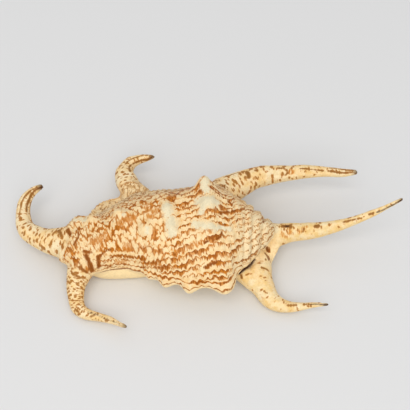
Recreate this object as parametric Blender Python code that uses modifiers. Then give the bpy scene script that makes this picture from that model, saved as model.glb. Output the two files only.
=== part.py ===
"""Spider conch shell lying on its aperture: one solid with six curved digits.

The shell lies along X, with its spire at +X and its siphonal end at -X. The thick
outer lip is at +Y, the columella side at -Y, and the aperture faces down. The shell
grew as one piece, so it is one object. Overlapping forms are joined by a voxel remesh,
hollowed from below, thinned to a light mesh, and trimmed flat where it touches the
ground.

Run it with: blender --background --python part.py
"""

import math

import bmesh
import bpy
from mathutils import Matrix, Vector

MM = 0.001

# ---- driving dimensions, in millimetres ------------------------------------------------

# Sections of the body whorl and spire, from the siphonal end to the apex:
# x, y of the columella edge, y of the crest, y of the outer edge,
# z of the edge, z of the crest, z of the belly
WHORL_SECTIONS = (
    (-86.0, -7.0, -1.0, 5.0, 13.0, 19.0, 8.0),
    (-80.0, -11.0, 0.0, 9.0, 14.0, 24.0, 6.0),
    (-74.0, -14.0, 2.0, 16.0, 14.0, 27.5, 4.5),
    (-64.0, -16.0, 4.0, 25.0, 14.0, 30.5, 2.5),
    (-54.0, -13.5, 6.0, 33.0, 14.0, 34.0, 1.5),
    (-44.0, -13.5, 8.0, 39.0, 14.0, 38.5, 1.0),
    (-36.0, -17.0, 10.0, 41.0, 14.5, 41.5, 1.0),
    (-26.0, -24.0, 12.0, 42.0, 15.5, 44.0, 1.0),
    (-14.0, -27.5, 13.0, 42.0, 16.5, 45.0, 1.0),
    (-4.0, -30.0, 13.5, 41.0, 17.5, 46.5, 1.5),
    (4.0, -30.5, 13.5, 40.0, 18.0, 46.5, 2.0),
    (10.0, -29.5, 12.5, 37.0, 18.5, 44.5, 3.0),
    (14.0, -25.0, 11.0, 34.5, 19.0, 42.0, 5.0),
    (18.0, -19.0, 9.5, 31.5, 19.5, 39.5, 7.0),
    (22.0, -14.0, 8.5, 28.5, 20.0, 37.0, 9.0),
    (26.0, -9.5, 8.0, 25.0, 20.5, 34.5, 12.0),
    (30.0, -4.5, 7.5, 20.0, 21.5, 32.0, 14.5),
    (34.0, 0.0, 7.0, 14.5, 22.0, 29.0, 17.5),
    (38.0, 4.5, 7.0, 9.5, 23.0, 25.5, 21.0),
)
DOME_ROUNDNESS = 2.1      # superellipse powers: the back's near side,
SLOPE_ROUNDNESS = 1.45    # its slope to the outer lip,
BELLY_ROUNDNESS = 1.6     # and the belly
SECTION_POINTS = 40

# Centre lines of the digits: x, y, z, radius
DIGITS = {
    "siphonal_labial": (
        (-70.0, 8.0, 14.0, 12.0), (-79.2, 5.7, 13.0, 10.5), (-86.3, 6.4, 12.5, 9.0),
        (-93.5, 8.3, 12.0, 7.4), (-100.8, 11.7, 12.0, 6.4), (-107.2, 16.9, 12.0, 5.4),
        (-109.6, 26.0, 13.0, 4.6), (-109.4, 33.6, 15.0, 4.0), (-107.0, 38.9, 17.0, 3.3),
        (-103.1, 41.5, 19.0, 2.4), (-99.3, 41.8, 21.0, 1.3),
    ),
    "siphonal_canal": (
        (-70.0, -5.0, 14.0, 10.0), (-73.3, -14.6, 12.0, 7.5), (-75.2, -22.3, 9.0, 5.6),
        (-74.9, -29.2, 5.6, 4.6), (-73.2, -34.6, 3.2, 4.1), (-68.6, -38.0, 2.8, 3.3),
        (-62.0, -40.4, 3.8, 2.7), (-55.0, -43.8, 6.5, 2.2), (-50.3, -47.2, 8.0, 1.6),
        (-46.8, -49.5, 9.0, 1.0),
    ),
    "front_labial": (
        (-44.0, 36.0, 14.0, 10.5), (-46.2, 45.8, 14.0, 8.3), (-51.1, 56.7, 14.0, 6.1),
        (-50.6, 62.0, 13.5, 5.2), (-47.8, 67.2, 14.0, 4.3), (-43.1, 68.6, 15.5, 3.2),
        (-38.1, 68.4, 17.5, 2.4), (-33.7, 67.4, 19.5, 1.2),
    ),
    "back_labial": (
        (2.0, 34.0, 16.0, 11.5), (12.4, 42.8, 17.0, 9.2), (26.2, 49.4, 19.5, 6.9),
        (33.5, 51.4, 20.0, 6.3), (40.1, 52.3, 20.5, 5.6), (47.9, 52.7, 21.0, 4.8),
        (58.2, 53.9, 21.0, 4.2), (69.1, 54.5, 20.5, 3.3), (79.9, 53.6, 20.5, 2.9),
        (88.3, 53.7, 21.0, 1.8),
    ),
    "spire_labial": (
        (28.0, 12.0, 13.0, 9.0), (39.3, 10.8, 14.0, 7.0), (47.5, 11.5, 15.5, 5.8),
        (56.2, 11.4, 16.5, 5.1), (64.8, 11.7, 18.0, 4.5), (73.4, 12.3, 20.0, 3.6),
        (81.9, 13.7, 22.5, 2.9), (90.5, 15.3, 25.5, 2.2), (98.9, 17.3, 29.0, 1.6),
        (110.0, 20.0, 34.5, 0.8),
    ),
    "back_canal": (
        (22.0, 2.0, 11.0, 11.0), (27.4, -5.9, 10.0, 10.0), (28.9, -14.8, 8.0, 8.2),
        (31.6, -22.2, 6.2, 6.5), (34.6, -28.1, 5.2, 5.5), (39.8, -31.9, 4.4, 4.6),
        (46.5, -34.1, 5.0, 3.4), (53.1, -34.9, 7.0, 2.6), (59.7, -35.0, 8.5, 1.9),
        (65.7, -35.9, 10.0, 1.0),
    ),
}

# The flared lip: points along its margin, and the points inside the whorl that it
# spreads from: x, y, z
LIP_MARGIN = (
    (-78.0, 12.0, 9.0), (-73.8, 22.4, 7.0), (-72.1, 32.4, 6.0), (-67.0, 40.0, 5.0),
    (-58.0, 43.5, 7.0), (-46.0, 46.0, 9.0), (-38.0, 47.0, 4.0), (-30.0, 50.5, 2.0),
    (-20.0, 52.5, 1.5), (-10.0, 51.5, 1.5), (0.0, 47.0, 6.0), (10.0, 41.0, 11.0),
    (19.4, 34.0, 13.0), (28.0, 31.0, 13.0), (34.0, 26.5, 13.0), (38.5, 21.0, 12.0),
    (40.5, 12.0, 12.0), (41.0, 4.0, 9.0), (37.5, -1.0, 7.5), (35.0, -9.0, 6.5),
)
LIP_ROOT = (
    (-66.0, 4.0, 14.0), (-60.0, 10.0, 14.0), (-55.0, 14.0, 15.0), (-48.0, 18.0, 16.0),
    (-44.0, 20.0, 17.0), (-38.0, 20.0, 18.0), (-32.0, 21.0, 18.0), (-26.0, 22.0, 18.0),
    (-20.0, 22.0, 18.0), (-12.0, 22.0, 18.0), (-4.0, 20.0, 18.0), (2.0, 17.0, 17.0),
    (8.0, 14.0, 16.0), (12.0, 11.0, 15.0), (15.0, 9.0, 14.0), (17.0, 7.0, 13.0),
    (18.0, 4.0, 12.0), (18.0, 0.0, 11.0), (17.0, -4.0, 10.0), (16.0, -8.0, 9.0),
)
LIP_THICKNESS = 7.0

# Knobs on the ridges of the body whorl: x, y, z, radius
KNOBS = (
    (-2.6, 19.5, 46.0, 7.0), (-0.5, 7.0, 44.5, 7.0), (-2.0, -9.0, 41.0, 6.5),
    (-23.5, 5.0, 40.5, 6.0), (-21.5, -8.0, 37.0, 6.0), (-34.8, -7.0, 34.0, 5.5),
    (-51.0, 9.0, 29.5, 5.0), (9.0, -27.5, 18.0, 5.0), (-9.8, -28.5, 17.0, 4.5),
    (-23.3, -22.5, 16.0, 4.5), (-75.0, 11.0, 17.5, 6.0),
)

# The callus: the smooth swelling beside the aperture that the shell lies on
CALLUS = (
    (-70.0, -4.0, 9.0, 7.0), (-60.0, -5.5, 7.5, 8.3), (-48.0, -5.5, 7.3, 8.3),
    (-36.0, -4.0, 7.0, 8.3), (-20.0, -1.0, 6.6, 8.0), (0.0, 1.0, 6.2, 7.8),
    (14.0, 0.0, 7.0, 7.6), (24.0, -3.0, 8.5, 8.0),
)

# The aperture: centre line of the slit, x, y, half width
APERTURE_LINE = (
    (-62.0, 4.0, 3.0), (-50.0, 13.0, 4.5), (-36.0, 19.0, 6.0), (-20.0, 21.5, 7.0),
    (-4.0, 19.0, 6.5), (8.0, 12.0, 5.0), (17.0, 3.0, 3.5), (22.0, -4.0, 2.5),
)
APERTURE_DEPTH = 16.0
APERTURE_START = -2.0     # height that the slit's cutter starts at, in half widths
APERTURE_TAPER = 0.7      # width at the slit's top over its width at the mouth
WALL = 5.0                # shell wall over the hollow
HOLLOW_X = (-56.0, 11.0)  # reach of the hollow along the shell
HOLLOW_Y = 6.0            # the columella fills the whorl up to here

# Mesh making
TUBE_ROUNDING = 4         # points in a quarter of a tube's ring, less one
TUBE_STEPS = 4            # rings between two stations of a tube
CURVE_ORDER = 3
MERGE_GAP = 0.01
VOXEL = 1.3
SMOOTH_SHARE = 0.5
SMOOTH_ROUNDS = 5
TRIANGLES = 8600
GROUND_SLAB = (400.0, 400.0, 20.0)
CREASE_ANGLE = 40.0       # degrees

SHELL_COLOUR = (0.63, 0.42, 0.21, 1.0)
SHELL_ROUGHNESS = 0.45


# ---- helpers ----------------------------------------------------------------------------

def clear_scene():
    """Remove what is in the scene, and give the shell and its helpers collections."""
    for old in list(bpy.data.objects):
        bpy.data.objects.remove(old, do_unlink=True)
    collections = []
    for name in ("spider_conch", "helpers"):
        collection = bpy.data.collections.new(name)
        bpy.context.scene.collection.children.link(collection)
        collections.append(collection)
    return collections


def add_object(name, mesh, collection):
    """Wrap a mesh in a new object of a collection."""
    item = bpy.data.objects.new(name, mesh)
    collection.objects.link(item)
    return item


def as_helper(item):
    """Mark an object as a cutter or a guide."""
    item.hide_render = True
    item.display_type = 'WIRE'
    return item


def mesh_from_bmesh(name, bm):
    """Turn a bmesh in millimetres into a mesh in metres."""
    bmesh.ops.recalc_face_normals(bm, faces=bm.faces)
    bmesh.ops.scale(bm, vec=(MM, MM, MM), verts=bm.verts)
    mesh = bpy.data.meshes.new(name)
    bm.to_mesh(mesh)
    bm.free()
    return mesh


def evaluated_mesh(item):
    """Read an object's mesh as its modifiers leave it."""
    graph = bpy.context.evaluated_depsgraph_get()
    graph.update()
    return bpy.data.meshes.new_from_object(item.evaluated_get(graph))


def apply_modifiers(item):
    """Bake an object's modifiers into its own mesh."""
    baked = evaluated_mesh(item)
    item.modifiers.clear()
    item.data = baked


def loft(name, rings):
    """Skin closed rings of points, all of one length, and cap both ends."""
    bm = bmesh.new()
    rows = [[bm.verts.new(point) for point in ring] for ring in rings]
    count = len(rings[0])
    for low, high in zip(rows, rows[1:]):
        for i in range(count):
            j = (i + 1) % count
            bm.faces.new((low[i], low[j], high[j], high[i]))
    bm.faces.new(list(reversed(rows[0])))
    bm.faces.new(rows[-1])
    return mesh_from_bmesh(name, bm)


# ---- forms ------------------------------------------------------------------------------

def whorl_ring(section, inset=0.0):
    """Points of one section of the body whorl, inset all round by a wall."""
    x, edge_y, crest_y, outer_y, edge_z, crest_z, belly_z = section
    ring = []
    for i in range(SECTION_POINTS):
        angle = math.tau * i / SECTION_POINTS
        side = math.cos(angle)
        height = math.sin(angle)
        if height < 0.0:
            power = BELLY_ROUNDNESS
        else:
            power = SLOPE_ROUNDNESS if side > 0.0 else DOME_ROUNDNESS
        reach_y = (outer_y - crest_y if side >= 0.0 else crest_y - edge_y) - inset
        reach_z = (crest_z - edge_z if height >= 0.0 else edge_z - belly_z) - inset
        y = crest_y + reach_y * math.copysign(abs(side) ** (2.0 / power), side)
        z = edge_z + reach_z * math.copysign(abs(height) ** (2.0 / power), height)
        ring.append((x, y, z))
    return ring


def make_whorl(collection):
    """The body whorl and the spire, lofted through their sections."""
    rings = [whorl_ring(section) for section in WHORL_SECTIONS]
    return add_object("whorl", loft("whorl", rings), collection)


def make_tube(name, stations, collection):
    """A capped tube of changing radius along its centre line."""
    curve = bpy.data.curves.new(name, 'CURVE')
    curve.dimensions = '3D'
    curve.bevel_depth = MM
    curve.bevel_resolution = TUBE_ROUNDING
    curve.use_fill_caps = True
    curve.resolution_u = TUBE_STEPS
    spline = curve.splines.new('NURBS')
    spline.points.add(len(stations) - 1)
    spline.order_u = CURVE_ORDER
    spline.use_endpoint_u = True
    for point, (x, y, z, radius) in zip(spline.points, stations):
        point.co = (x * MM, y * MM, z * MM, 1.0)
        point.radius = radius
    tube = add_object(name, curve, collection)
    mesh = evaluated_mesh(tube)
    bpy.data.objects.remove(tube, do_unlink=True)
    bm = bmesh.new()
    bm.from_mesh(mesh)
    bmesh.ops.remove_doubles(bm, verts=bm.verts, dist=MERGE_GAP * MM)
    bm.to_mesh(mesh)
    bm.free()
    return add_object(name, mesh, collection)


def make_lip(collection):
    """The flared lip: a sheet from inside the whorl to the margin, made thick."""
    bm = bmesh.new()
    rows = [[bm.verts.new(point) for point in line] for line in (LIP_ROOT, LIP_MARGIN)]
    for i in range(len(LIP_MARGIN) - 1):
        bm.faces.new((rows[0][i], rows[0][i + 1], rows[1][i + 1], rows[1][i]))
    lip = add_object("lip", mesh_from_bmesh("lip", bm), collection)
    thick = lip.modifiers.new("thickness", 'SOLIDIFY')
    thick.thickness = LIP_THICKNESS * MM
    thick.offset = 0.0
    apply_modifiers(lip)
    return lip


def make_knob(index, knob, collection):
    """A knob on the whorl's back."""
    x, y, z, radius = knob
    bm = bmesh.new()
    bmesh.ops.create_icosphere(bm, subdivisions=2, radius=radius,
                               matrix=Matrix.Translation((x, y, z)))
    name = f"knob_{index}"
    return add_object(name, mesh_from_bmesh(name, bm), collection)


def make_aperture_cutter(collection):
    """The slit of the aperture: a wall-sided trench along a curved line."""
    rings = []
    for i, (x, y, half) in enumerate(APERTURE_LINE):
        before = Vector(APERTURE_LINE[max(i - 1, 0)][:2])
        after = Vector(APERTURE_LINE[min(i + 1, len(APERTURE_LINE) - 1)][:2])
        along = (after - before).normalized()
        across = Vector((-along.y, along.x)) * half
        inner = across * APERTURE_TAPER
        start = APERTURE_START * half
        rings.append((
            (x - across.x, y - across.y, start),
            (x + across.x, y + across.y, start),
            (x + inner.x, y + inner.y, APERTURE_DEPTH),
            (x - inner.x, y - inner.y, APERTURE_DEPTH),
        ))
    cutter = add_object("aperture", loft("aperture", rings), collection)
    return as_helper(cutter)


def make_hollow_cutter(collection):
    """The hollow of the last whorl, between the dome's wall and the columella."""
    bm = bmesh.new()
    for section in WHORL_SECTIONS:
        if HOLLOW_X[0] <= section[0] <= HOLLOW_X[1]:
            for x, y, z in whorl_ring(section, WALL):
                bm.verts.new((x, max(y, HOLLOW_Y), z))
    bmesh.ops.convex_hull(bm, input=bm.verts)
    loose = [vert for vert in bm.verts if not vert.link_faces]
    bmesh.ops.delete(bm, geom=loose, context='VERTS')
    cutter = add_object("hollow", mesh_from_bmesh("hollow", bm), collection)
    return as_helper(cutter)


def make_ground_cutter(collection):
    """A slab under the ground, which trims the shell flat where it rests."""
    bm = bmesh.new()
    bmesh.ops.create_cube(bm, size=1.0)
    bmesh.ops.scale(bm, vec=GROUND_SLAB, verts=bm.verts)
    bmesh.ops.translate(bm, vec=(0.0, 0.0, -0.5 * GROUND_SLAB[2]), verts=bm.verts)
    cutter = add_object("ground", mesh_from_bmesh("ground", bm), collection)
    return as_helper(cutter)


# ---- assembly ---------------------------------------------------------------------------

def join_forms(forms, collection):
    """Put overlapping forms in one object."""
    bm = bmesh.new()
    for form in forms:
        bm.from_mesh(form.data)
        bpy.data.objects.remove(form, do_unlink=True)
    mesh = bpy.data.meshes.new("shell")
    bm.to_mesh(mesh)
    bm.free()
    return add_object("shell", mesh, collection)


def grow_together(shell):
    """Fuse the joined forms into one smooth, closed skin, and thin it out."""
    skin = shell.modifiers.new("skin", 'REMESH')
    skin.mode = 'VOXEL'
    skin.voxel_size = VOXEL * MM
    soften = shell.modifiers.new("soften", 'SMOOTH')
    soften.factor = SMOOTH_SHARE
    soften.iterations = SMOOTH_ROUNDS
    apply_modifiers(shell)
    shell.data.calc_loop_triangles()
    thin = shell.modifiers.new("thin", 'DECIMATE')
    thin.ratio = TRIANGLES / len(shell.data.loop_triangles)
    apply_modifiers(shell)


def cut(shell, cutter):
    """Cut one form out of the shell."""
    boolean = shell.modifiers.new(cutter.name, 'BOOLEAN')
    boolean.operation = 'DIFFERENCE'
    boolean.solver = 'EXACT'
    boolean.object = cutter
    apply_modifiers(shell)


def centre_on_ground(shell):
    """Put the origin under the middle of the shell's box."""
    points = [vert.co for vert in shell.data.vertices]
    middle = [0.5 * (min(p[i] for p in points) + max(p[i] for p in points)) for i in (0, 1)]
    shell.data.transform(Matrix.Translation((-middle[0], -middle[1], 0.0)))


def shell_material():
    """Porcelain-like grown shell, tan."""
    material = bpy.data.materials.new("shell")
    material.use_nodes = True
    surface = material.node_tree.nodes["Principled BSDF"]
    surface.inputs["Base Color"].default_value = SHELL_COLOUR
    surface.inputs["Roughness"].default_value = SHELL_ROUGHNESS
    surface.inputs["Metallic"].default_value = 0.0
    return material


def build_shell():
    """Make the shell."""
    parts, helpers = clear_scene()
    forms = [make_whorl(parts), make_lip(parts)]
    forms.append(make_tube("callus", CALLUS, parts))
    forms += [make_tube(name, line, parts) for name, line in DIGITS.items()]
    forms += [make_knob(i, knob, parts) for i, knob in enumerate(KNOBS)]
    shell = join_forms(forms, parts)
    grow_together(shell)
    for make_cutter in (make_hollow_cutter, make_aperture_cutter, make_ground_cutter):
        cut(shell, make_cutter(helpers))
    centre_on_ground(shell)
    shell.data.materials.clear()
    shell.data.materials.append(shell_material())
    shell.data.shade_smooth()
    shell.data.set_sharp_from_angle(angle=math.radians(CREASE_ANGLE))


build_shell()
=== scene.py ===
"""Looks of a spider conch shell that lies on its aperture.

The shell grew as one piece, so it is one mesh. Its forms are modelled apart, fused by
a voxel remesh, hollowed by the aperture, and then carved: spiral ridges with knobs,
cords, sutures, digit slits and the fine ribs inside the lips. Pattern coordinates that
follow the growth of the shell are kept as attributes, and one material reads them.

Lengths are in millimetres until a mesh is finished, unless a name says otherwise.
"""

import logging
import math
from dataclasses import dataclass, field
from enum import Enum
from typing import Any, Iterable, Sequence

import bpy
import numpy as np
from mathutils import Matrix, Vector, noise


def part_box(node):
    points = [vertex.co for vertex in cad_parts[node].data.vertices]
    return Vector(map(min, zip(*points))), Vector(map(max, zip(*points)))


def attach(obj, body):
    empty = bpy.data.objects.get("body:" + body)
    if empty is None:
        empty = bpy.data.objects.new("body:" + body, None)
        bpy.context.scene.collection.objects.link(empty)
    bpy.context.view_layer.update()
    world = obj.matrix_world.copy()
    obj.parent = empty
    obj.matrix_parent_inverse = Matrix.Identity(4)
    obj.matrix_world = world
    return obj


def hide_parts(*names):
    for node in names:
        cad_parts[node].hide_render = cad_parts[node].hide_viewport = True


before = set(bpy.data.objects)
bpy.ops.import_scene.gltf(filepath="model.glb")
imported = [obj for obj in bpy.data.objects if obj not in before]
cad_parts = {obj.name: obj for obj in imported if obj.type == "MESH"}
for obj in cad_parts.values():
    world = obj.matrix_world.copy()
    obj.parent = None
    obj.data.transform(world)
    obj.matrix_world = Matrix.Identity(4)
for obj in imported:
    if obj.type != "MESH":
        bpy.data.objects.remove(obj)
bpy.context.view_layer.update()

MM = 0.001

# Attributes of the mesh that the material reads
KEPT = ("growth", "rim", "cord", "along", "around", "digit", "which", "callus", "throat",
        "chalky", "grey", "dose", "wild", "lined", "stain_and_shade", "honey", "stroke", "amber", "pale")

# Straight pieces that a smooth line has between two of its points
CURVE_PIECES = 24

log = logging.getLogger("spider_conch")


# ---- small tools ------------------------------------------------------------------------

def srgb(code: str) -> tuple[float, float, float, float]:
    """Turn an sRGB hex colour into a linear colour.

    Args:
        code: Six hex digits, with or without a leading #.

    Returns:
        Red, green, blue and alpha, linear.
    """
    digits = code.lstrip("#")
    shares = [int(digits[i:i + 2], 16) / 255.0 for i in (0, 2, 4)]
    linear = [c / 12.92 if c <= 0.04045 else ((c + 0.055) / 1.055) ** 2.4 for c in shares]
    return (linear[0], linear[1], linear[2], 1.0)


def deselect() -> None:
    """Leave nothing selected, so that an operator acts on the new piece alone."""
    if bpy.context.object and bpy.context.object.mode != 'OBJECT':
        bpy.ops.object.mode_set(mode='OBJECT')
    bpy.ops.object.select_all(action='DESELECT')


def activate(item: bpy.types.Object) -> None:
    """Make one object the only selected and active one.

    Args:
        item: The object.
    """
    deselect()
    item.select_set(True)
    bpy.context.view_layer.objects.active = item


def apply_modifiers(item: bpy.types.Object) -> None:
    """Apply an object's modifiers in their order.

    Args:
        item: The object.
    """
    activate(item)
    for modifier in list(item.modifiers):
        bpy.ops.object.modifier_apply(modifier=modifier.name)


def read_points(item: bpy.types.Object) -> np.ndarray:
    """Read an object's vertices.

    Args:
        item: The object.

    Returns:
        Its vertices, one a row.
    """
    points = np.empty(len(item.data.vertices) * 3)
    item.data.vertices.foreach_get("co", points)
    return points.reshape(-1, 3)


def write_points(item: bpy.types.Object, points: np.ndarray) -> None:
    """Move an object's vertices.

    Args:
        item: The object.
        points: The new places, one a row.
    """
    item.data.vertices.foreach_set("co", points.astype(np.float32).ravel())
    item.data.update()


def read_normals(item: bpy.types.Object) -> np.ndarray:
    """Read an object's vertex normals.

    Args:
        item: The object.

    Returns:
        The normals, one a row.
    """
    normals = np.empty(len(item.data.vertices) * 3, dtype=np.float32)
    item.data.vertex_normals.foreach_get("vector", normals)
    return normals.reshape(-1, 3).astype(float)


def smoothstep(low: float, high: float, value: np.ndarray) -> np.ndarray:
    """Rise smoothly from 0 to 1.

    Args:
        low: Where the rise begins.
        high: Where it ends, which may be below low.
        value: Where to read it.

    Returns:
        The share of the rise at each value.
    """
    share = np.clip((value - low) / (high - low), 0.0, 1.0)
    return share * share * (3.0 - 2.0 * share)


def bump(distance: np.ndarray, width: float | np.ndarray) -> np.ndarray:
    """A round hill, 1 at its middle and almost 0 at twice its width."""
    return np.exp(-(distance / width) ** 2)


def rough(points: np.ndarray, size: float, seed: float = 0.0) -> np.ndarray:
    """Smooth noise from -1 to 1 at each point.

    Args:
        points: The points, in millimetres.
        size: The noise's feature size, in millimetres.
        seed: Moves the noise, so that two uses differ.

    Returns:
        One value a point.
    """
    scaled = points / size + seed
    return np.array([noise.noise(Vector(p)) for p in scaled])


def smooth_line(points: Sequence[Sequence[float]], step: float) -> np.ndarray:
    """Run a smooth curve through points, and read it at even steps.

    Args:
        points: Rows of coordinates, and any other values that change along the line.
        step: The spacing that the rows of the result have, in the first three columns.

    Returns:
        Rows like the given ones, about a step apart.
    """
    rows = np.array(points, dtype=float)
    padded = np.vstack([2 * rows[0] - rows[1], rows, 2 * rows[-1] - rows[-2]])
    places = []
    for i in range(1, len(padded) - 2):
        a, b, c, d = padded[i - 1:i + 3]
        for t in np.linspace(0.0, 1.0, CURVE_PIECES, endpoint=False):
            places.append(0.5 * (2 * b + (c - a) * t + (2 * a - 5 * b + 4 * c - d) * t * t
                                 + (3 * b - a - 3 * c + d) * t ** 3))
    fine = np.array(places + [rows[-1]])
    lengths = np.linalg.norm(np.diff(fine[:, :3], axis=0), axis=1)
    reach = np.concatenate([[0.0], np.cumsum(lengths)])
    count = max(3, int(round(reach[-1] / step)) + 1)
    wanted = np.linspace(0.0, reach[-1], count)
    return np.stack([np.interp(wanted, reach, fine[:, k]) for k in range(rows.shape[1])], 1)


# ---- sizes of the shell -----------------------------------------------------------------

class Tint(Enum):
    """What a mark on the shell is, by the attribute that holds it. Some of the darkest marks are
    painted shade in the gaps and creases.
    """

    UMBER = "stroke"
    AMBER = "amber"
    CHALK = "pale"
    STAIN_AND_SHADE = "stain_and_shade"


@dataclass(frozen=True)
class Mark:
    """A stain, a worn patch or a line of painted shade at one place on the shell.

    Attributes:
        tint: What it is.
        width: Half width.
        line: Points along its middle.
        strength: How strong it is.
    """

    tint: Tint
    width: float
    line: tuple[tuple[float, float, float], ...]
    strength: float = 1.0

    def shade(self, points: np.ndarray) -> np.ndarray:
        """How strong the mark is at each point, half at its edge.

        Args:
            points: The points.

        Returns:
            A value that falls from the strength to 0 at twice the half width.
        """
        spine = smooth_line(self.line, 0.8) if len(self.line) > 1 else np.array(self.line)
        gap = np.linalg.norm(points[:, None, :] - spine[None, :, :], axis=2).min(axis=1)
        return self.strength * np.clip(1.0 - 0.5 * gap / self.width, 0.0, 1.0)


@dataclass(frozen=True)
class Tube:
    """A tapered form along a centre line.

    Attributes:
        name: What the form is.
        stations: x, y, z and radius along the line.
        slit: Angle around the tube of its closed slit, in degrees, 0 up.
        spots: Distance along the tube, and how thickly it is spotted there.
        grain: How much finer its spots are than those of the others.
        honey: How yellow its ground is.
        step: Spacing of its rings.
    """

    name: str
    stations: tuple[tuple[float, float, float, float], ...]
    slit: float = 180.0
    spots: tuple[tuple[float, float], ...] = ((0.0, 0.0),)
    grain: float = 1.0
    honey: float = 0.3
    step: float = 2.5

    def line(self) -> np.ndarray:
        """The smooth centre line with its radii."""
        return smooth_line(self.stations, self.step)


SIPHONAL_LABIAL = Tube("siphonal_labial", (
    (-70.0, 8.0, 14.0, 12.0), (-79.2, 5.7, 13.0, 10.5), (-86.3, 6.4, 12.5, 9.0),
    (-93.5, 8.3, 12.0, 7.4), (-100.8, 11.7, 12.0, 6.4), (-107.2, 16.9, 12.0, 5.4),
    (-109.6, 26.0, 13.0, 4.6), (-109.4, 33.6, 15.0, 4.0), (-107.0, 38.9, 17.0, 3.3),
    (-103.1, 41.5, 19.0, 2.5), (-98.6, 42.2, 21.4, 1.6)),
    slit=55.0, spots=((10.0, 0.09), (42.0, 0.06), (56.0, 0.0), (90.0, -0.04)),
    grain=1.2)
SIPHONAL_CANAL = Tube("siphonal_canal", (
    (-70.0, -5.0, 14.0, 10.0), (-73.3, -14.6, 12.0, 7.5), (-75.2, -22.3, 9.0, 5.6),
    (-74.9, -29.2, 5.6, 4.6), (-73.2, -34.6, 4.2, 4.1), (-68.6, -38.0, 3.8, 3.3),
    (-62.0, -40.4, 4.5, 2.7), (-55.0, -43.8, 6.5, 2.2), (-50.3, -47.2, 8.0, 1.6),
    (-45.0, -50.8, 9.6, 1.2)),
    slit=200.0, spots=((6.0, 0.1), (16.0, 0.12), (34.0, 0.1), (46.0, 0.0), (80.0, -0.05)),
    grain=1.7, honey=0.5)
FRONT_LABIAL = Tube("front_labial", (
    (-44.0, 36.0, 13.5, 9.6), (-46.2, 45.8, 14.0, 8.3), (-51.1, 56.7, 14.0, 6.1),
    (-50.6, 62.0, 13.5, 5.2), (-47.8, 67.2, 14.0, 4.3), (-43.1, 68.6, 15.5, 3.2),
    (-38.1, 68.4, 17.5, 2.5), (-32.6, 67.4, 20.0, 1.4)),
    slit=-60.0, spots=((6.0, 0.06), (30.0, 0.05), (36.0, 0.0), (60.0, -0.02)),
    grain=1.3)
BACK_LABIAL = Tube("back_labial", (
    (2.0, 34.0, 16.0, 11.5), (12.4, 42.8, 17.0, 9.2), (26.2, 49.4, 19.5, 6.9),
    (33.5, 51.4, 20.0, 6.3), (40.1, 52.3, 20.5, 5.6), (47.9, 52.7, 21.0, 4.8),
    (58.2, 53.9, 21.0, 4.2), (69.1, 54.5, 20.5, 3.3), (79.9, 53.6, 20.5, 2.9),
    (90.0, 53.6, 21.0, 1.7)),
    slit=50.0, spots=((6.0, 0.07), (30.0, 0.06), (48.0, 0.03), (56.0, -0.02), (90.0, -0.04)),
    honey=0.45)
SPIRE_LABIAL = Tube("spire_labial", (
    (28.0, 12.0, 13.0, 9.0), (39.3, 10.8, 14.0, 7.0), (47.5, 11.5, 15.5, 5.8),
    (56.2, 11.4, 16.5, 5.1), (64.8, 11.7, 18.0, 4.5), (73.4, 12.3, 20.0, 3.6),
    (81.9, 13.7, 22.5, 3.0), (90.5, 15.3, 25.5, 2.5), (98.9, 17.3, 29.0, 2.0),
    (112.4, 20.6, 35.6, 1.2)),
    slit=30.0, spots=((6.0, -0.02), (30.0, -0.05), (45.0, -0.04), (90.0, -0.04)),
    honey=0.75)
BACK_CANAL = Tube("back_canal", (
    (22.0, 2.0, 8.5, 9.0), (27.4, -5.9, 7.6, 8.8), (28.9, -14.8, 7.0, 7.9),
    (31.6, -22.2, 6.0, 6.5), (34.6, -28.1, 5.2, 5.5), (39.8, -31.9, 4.6, 4.5),
    (46.5, -34.1, 5.2, 3.2), (53.1, -34.9, 7.0, 2.4), (59.7, -35.0, 8.5, 1.8),
    (67.6, -36.1, 10.4, 1.2)),
    slit=150.0, spots=((6.0, -0.07), (30.0, -0.06), (45.0, -0.03), (60.0, -0.04)),
    honey=0.6)
DIGITS = (SIPHONAL_LABIAL, SIPHONAL_CANAL, FRONT_LABIAL, BACK_LABIAL, SPIRE_LABIAL,
          BACK_CANAL)

CALLUS = Tube("callus", (
    (-70.0, -4.0, 9.0, 7.0), (-60.0, -5.5, 7.5, 8.3), (-48.0, -5.5, 7.3, 8.3),
    (-36.0, -4.0, 7.0, 8.3), (-20.0, -1.0, 6.6, 8.0), (0.0, 1.0, 6.2, 7.8),
    (14.0, 0.0, 7.0, 7.6), (24.0, -3.0, 8.5, 8.0)))
CANAL_WEB = Tube("canal_web", (
    (8.0, -4.0, 9.0, 5.0), (18.0, -11.0, 8.5, 5.5), (24.0, -16.0, 8.0, 5.8),
    (30.5, -21.5, 6.5, 5.8)))


class Quarter(Enum):
    """How round a quarter of the whorl's section is: the power of its superellipse."""

    BACK = 2.1
    OUTER_SLOPE = 1.45
    BELLY = 1.6


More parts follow.
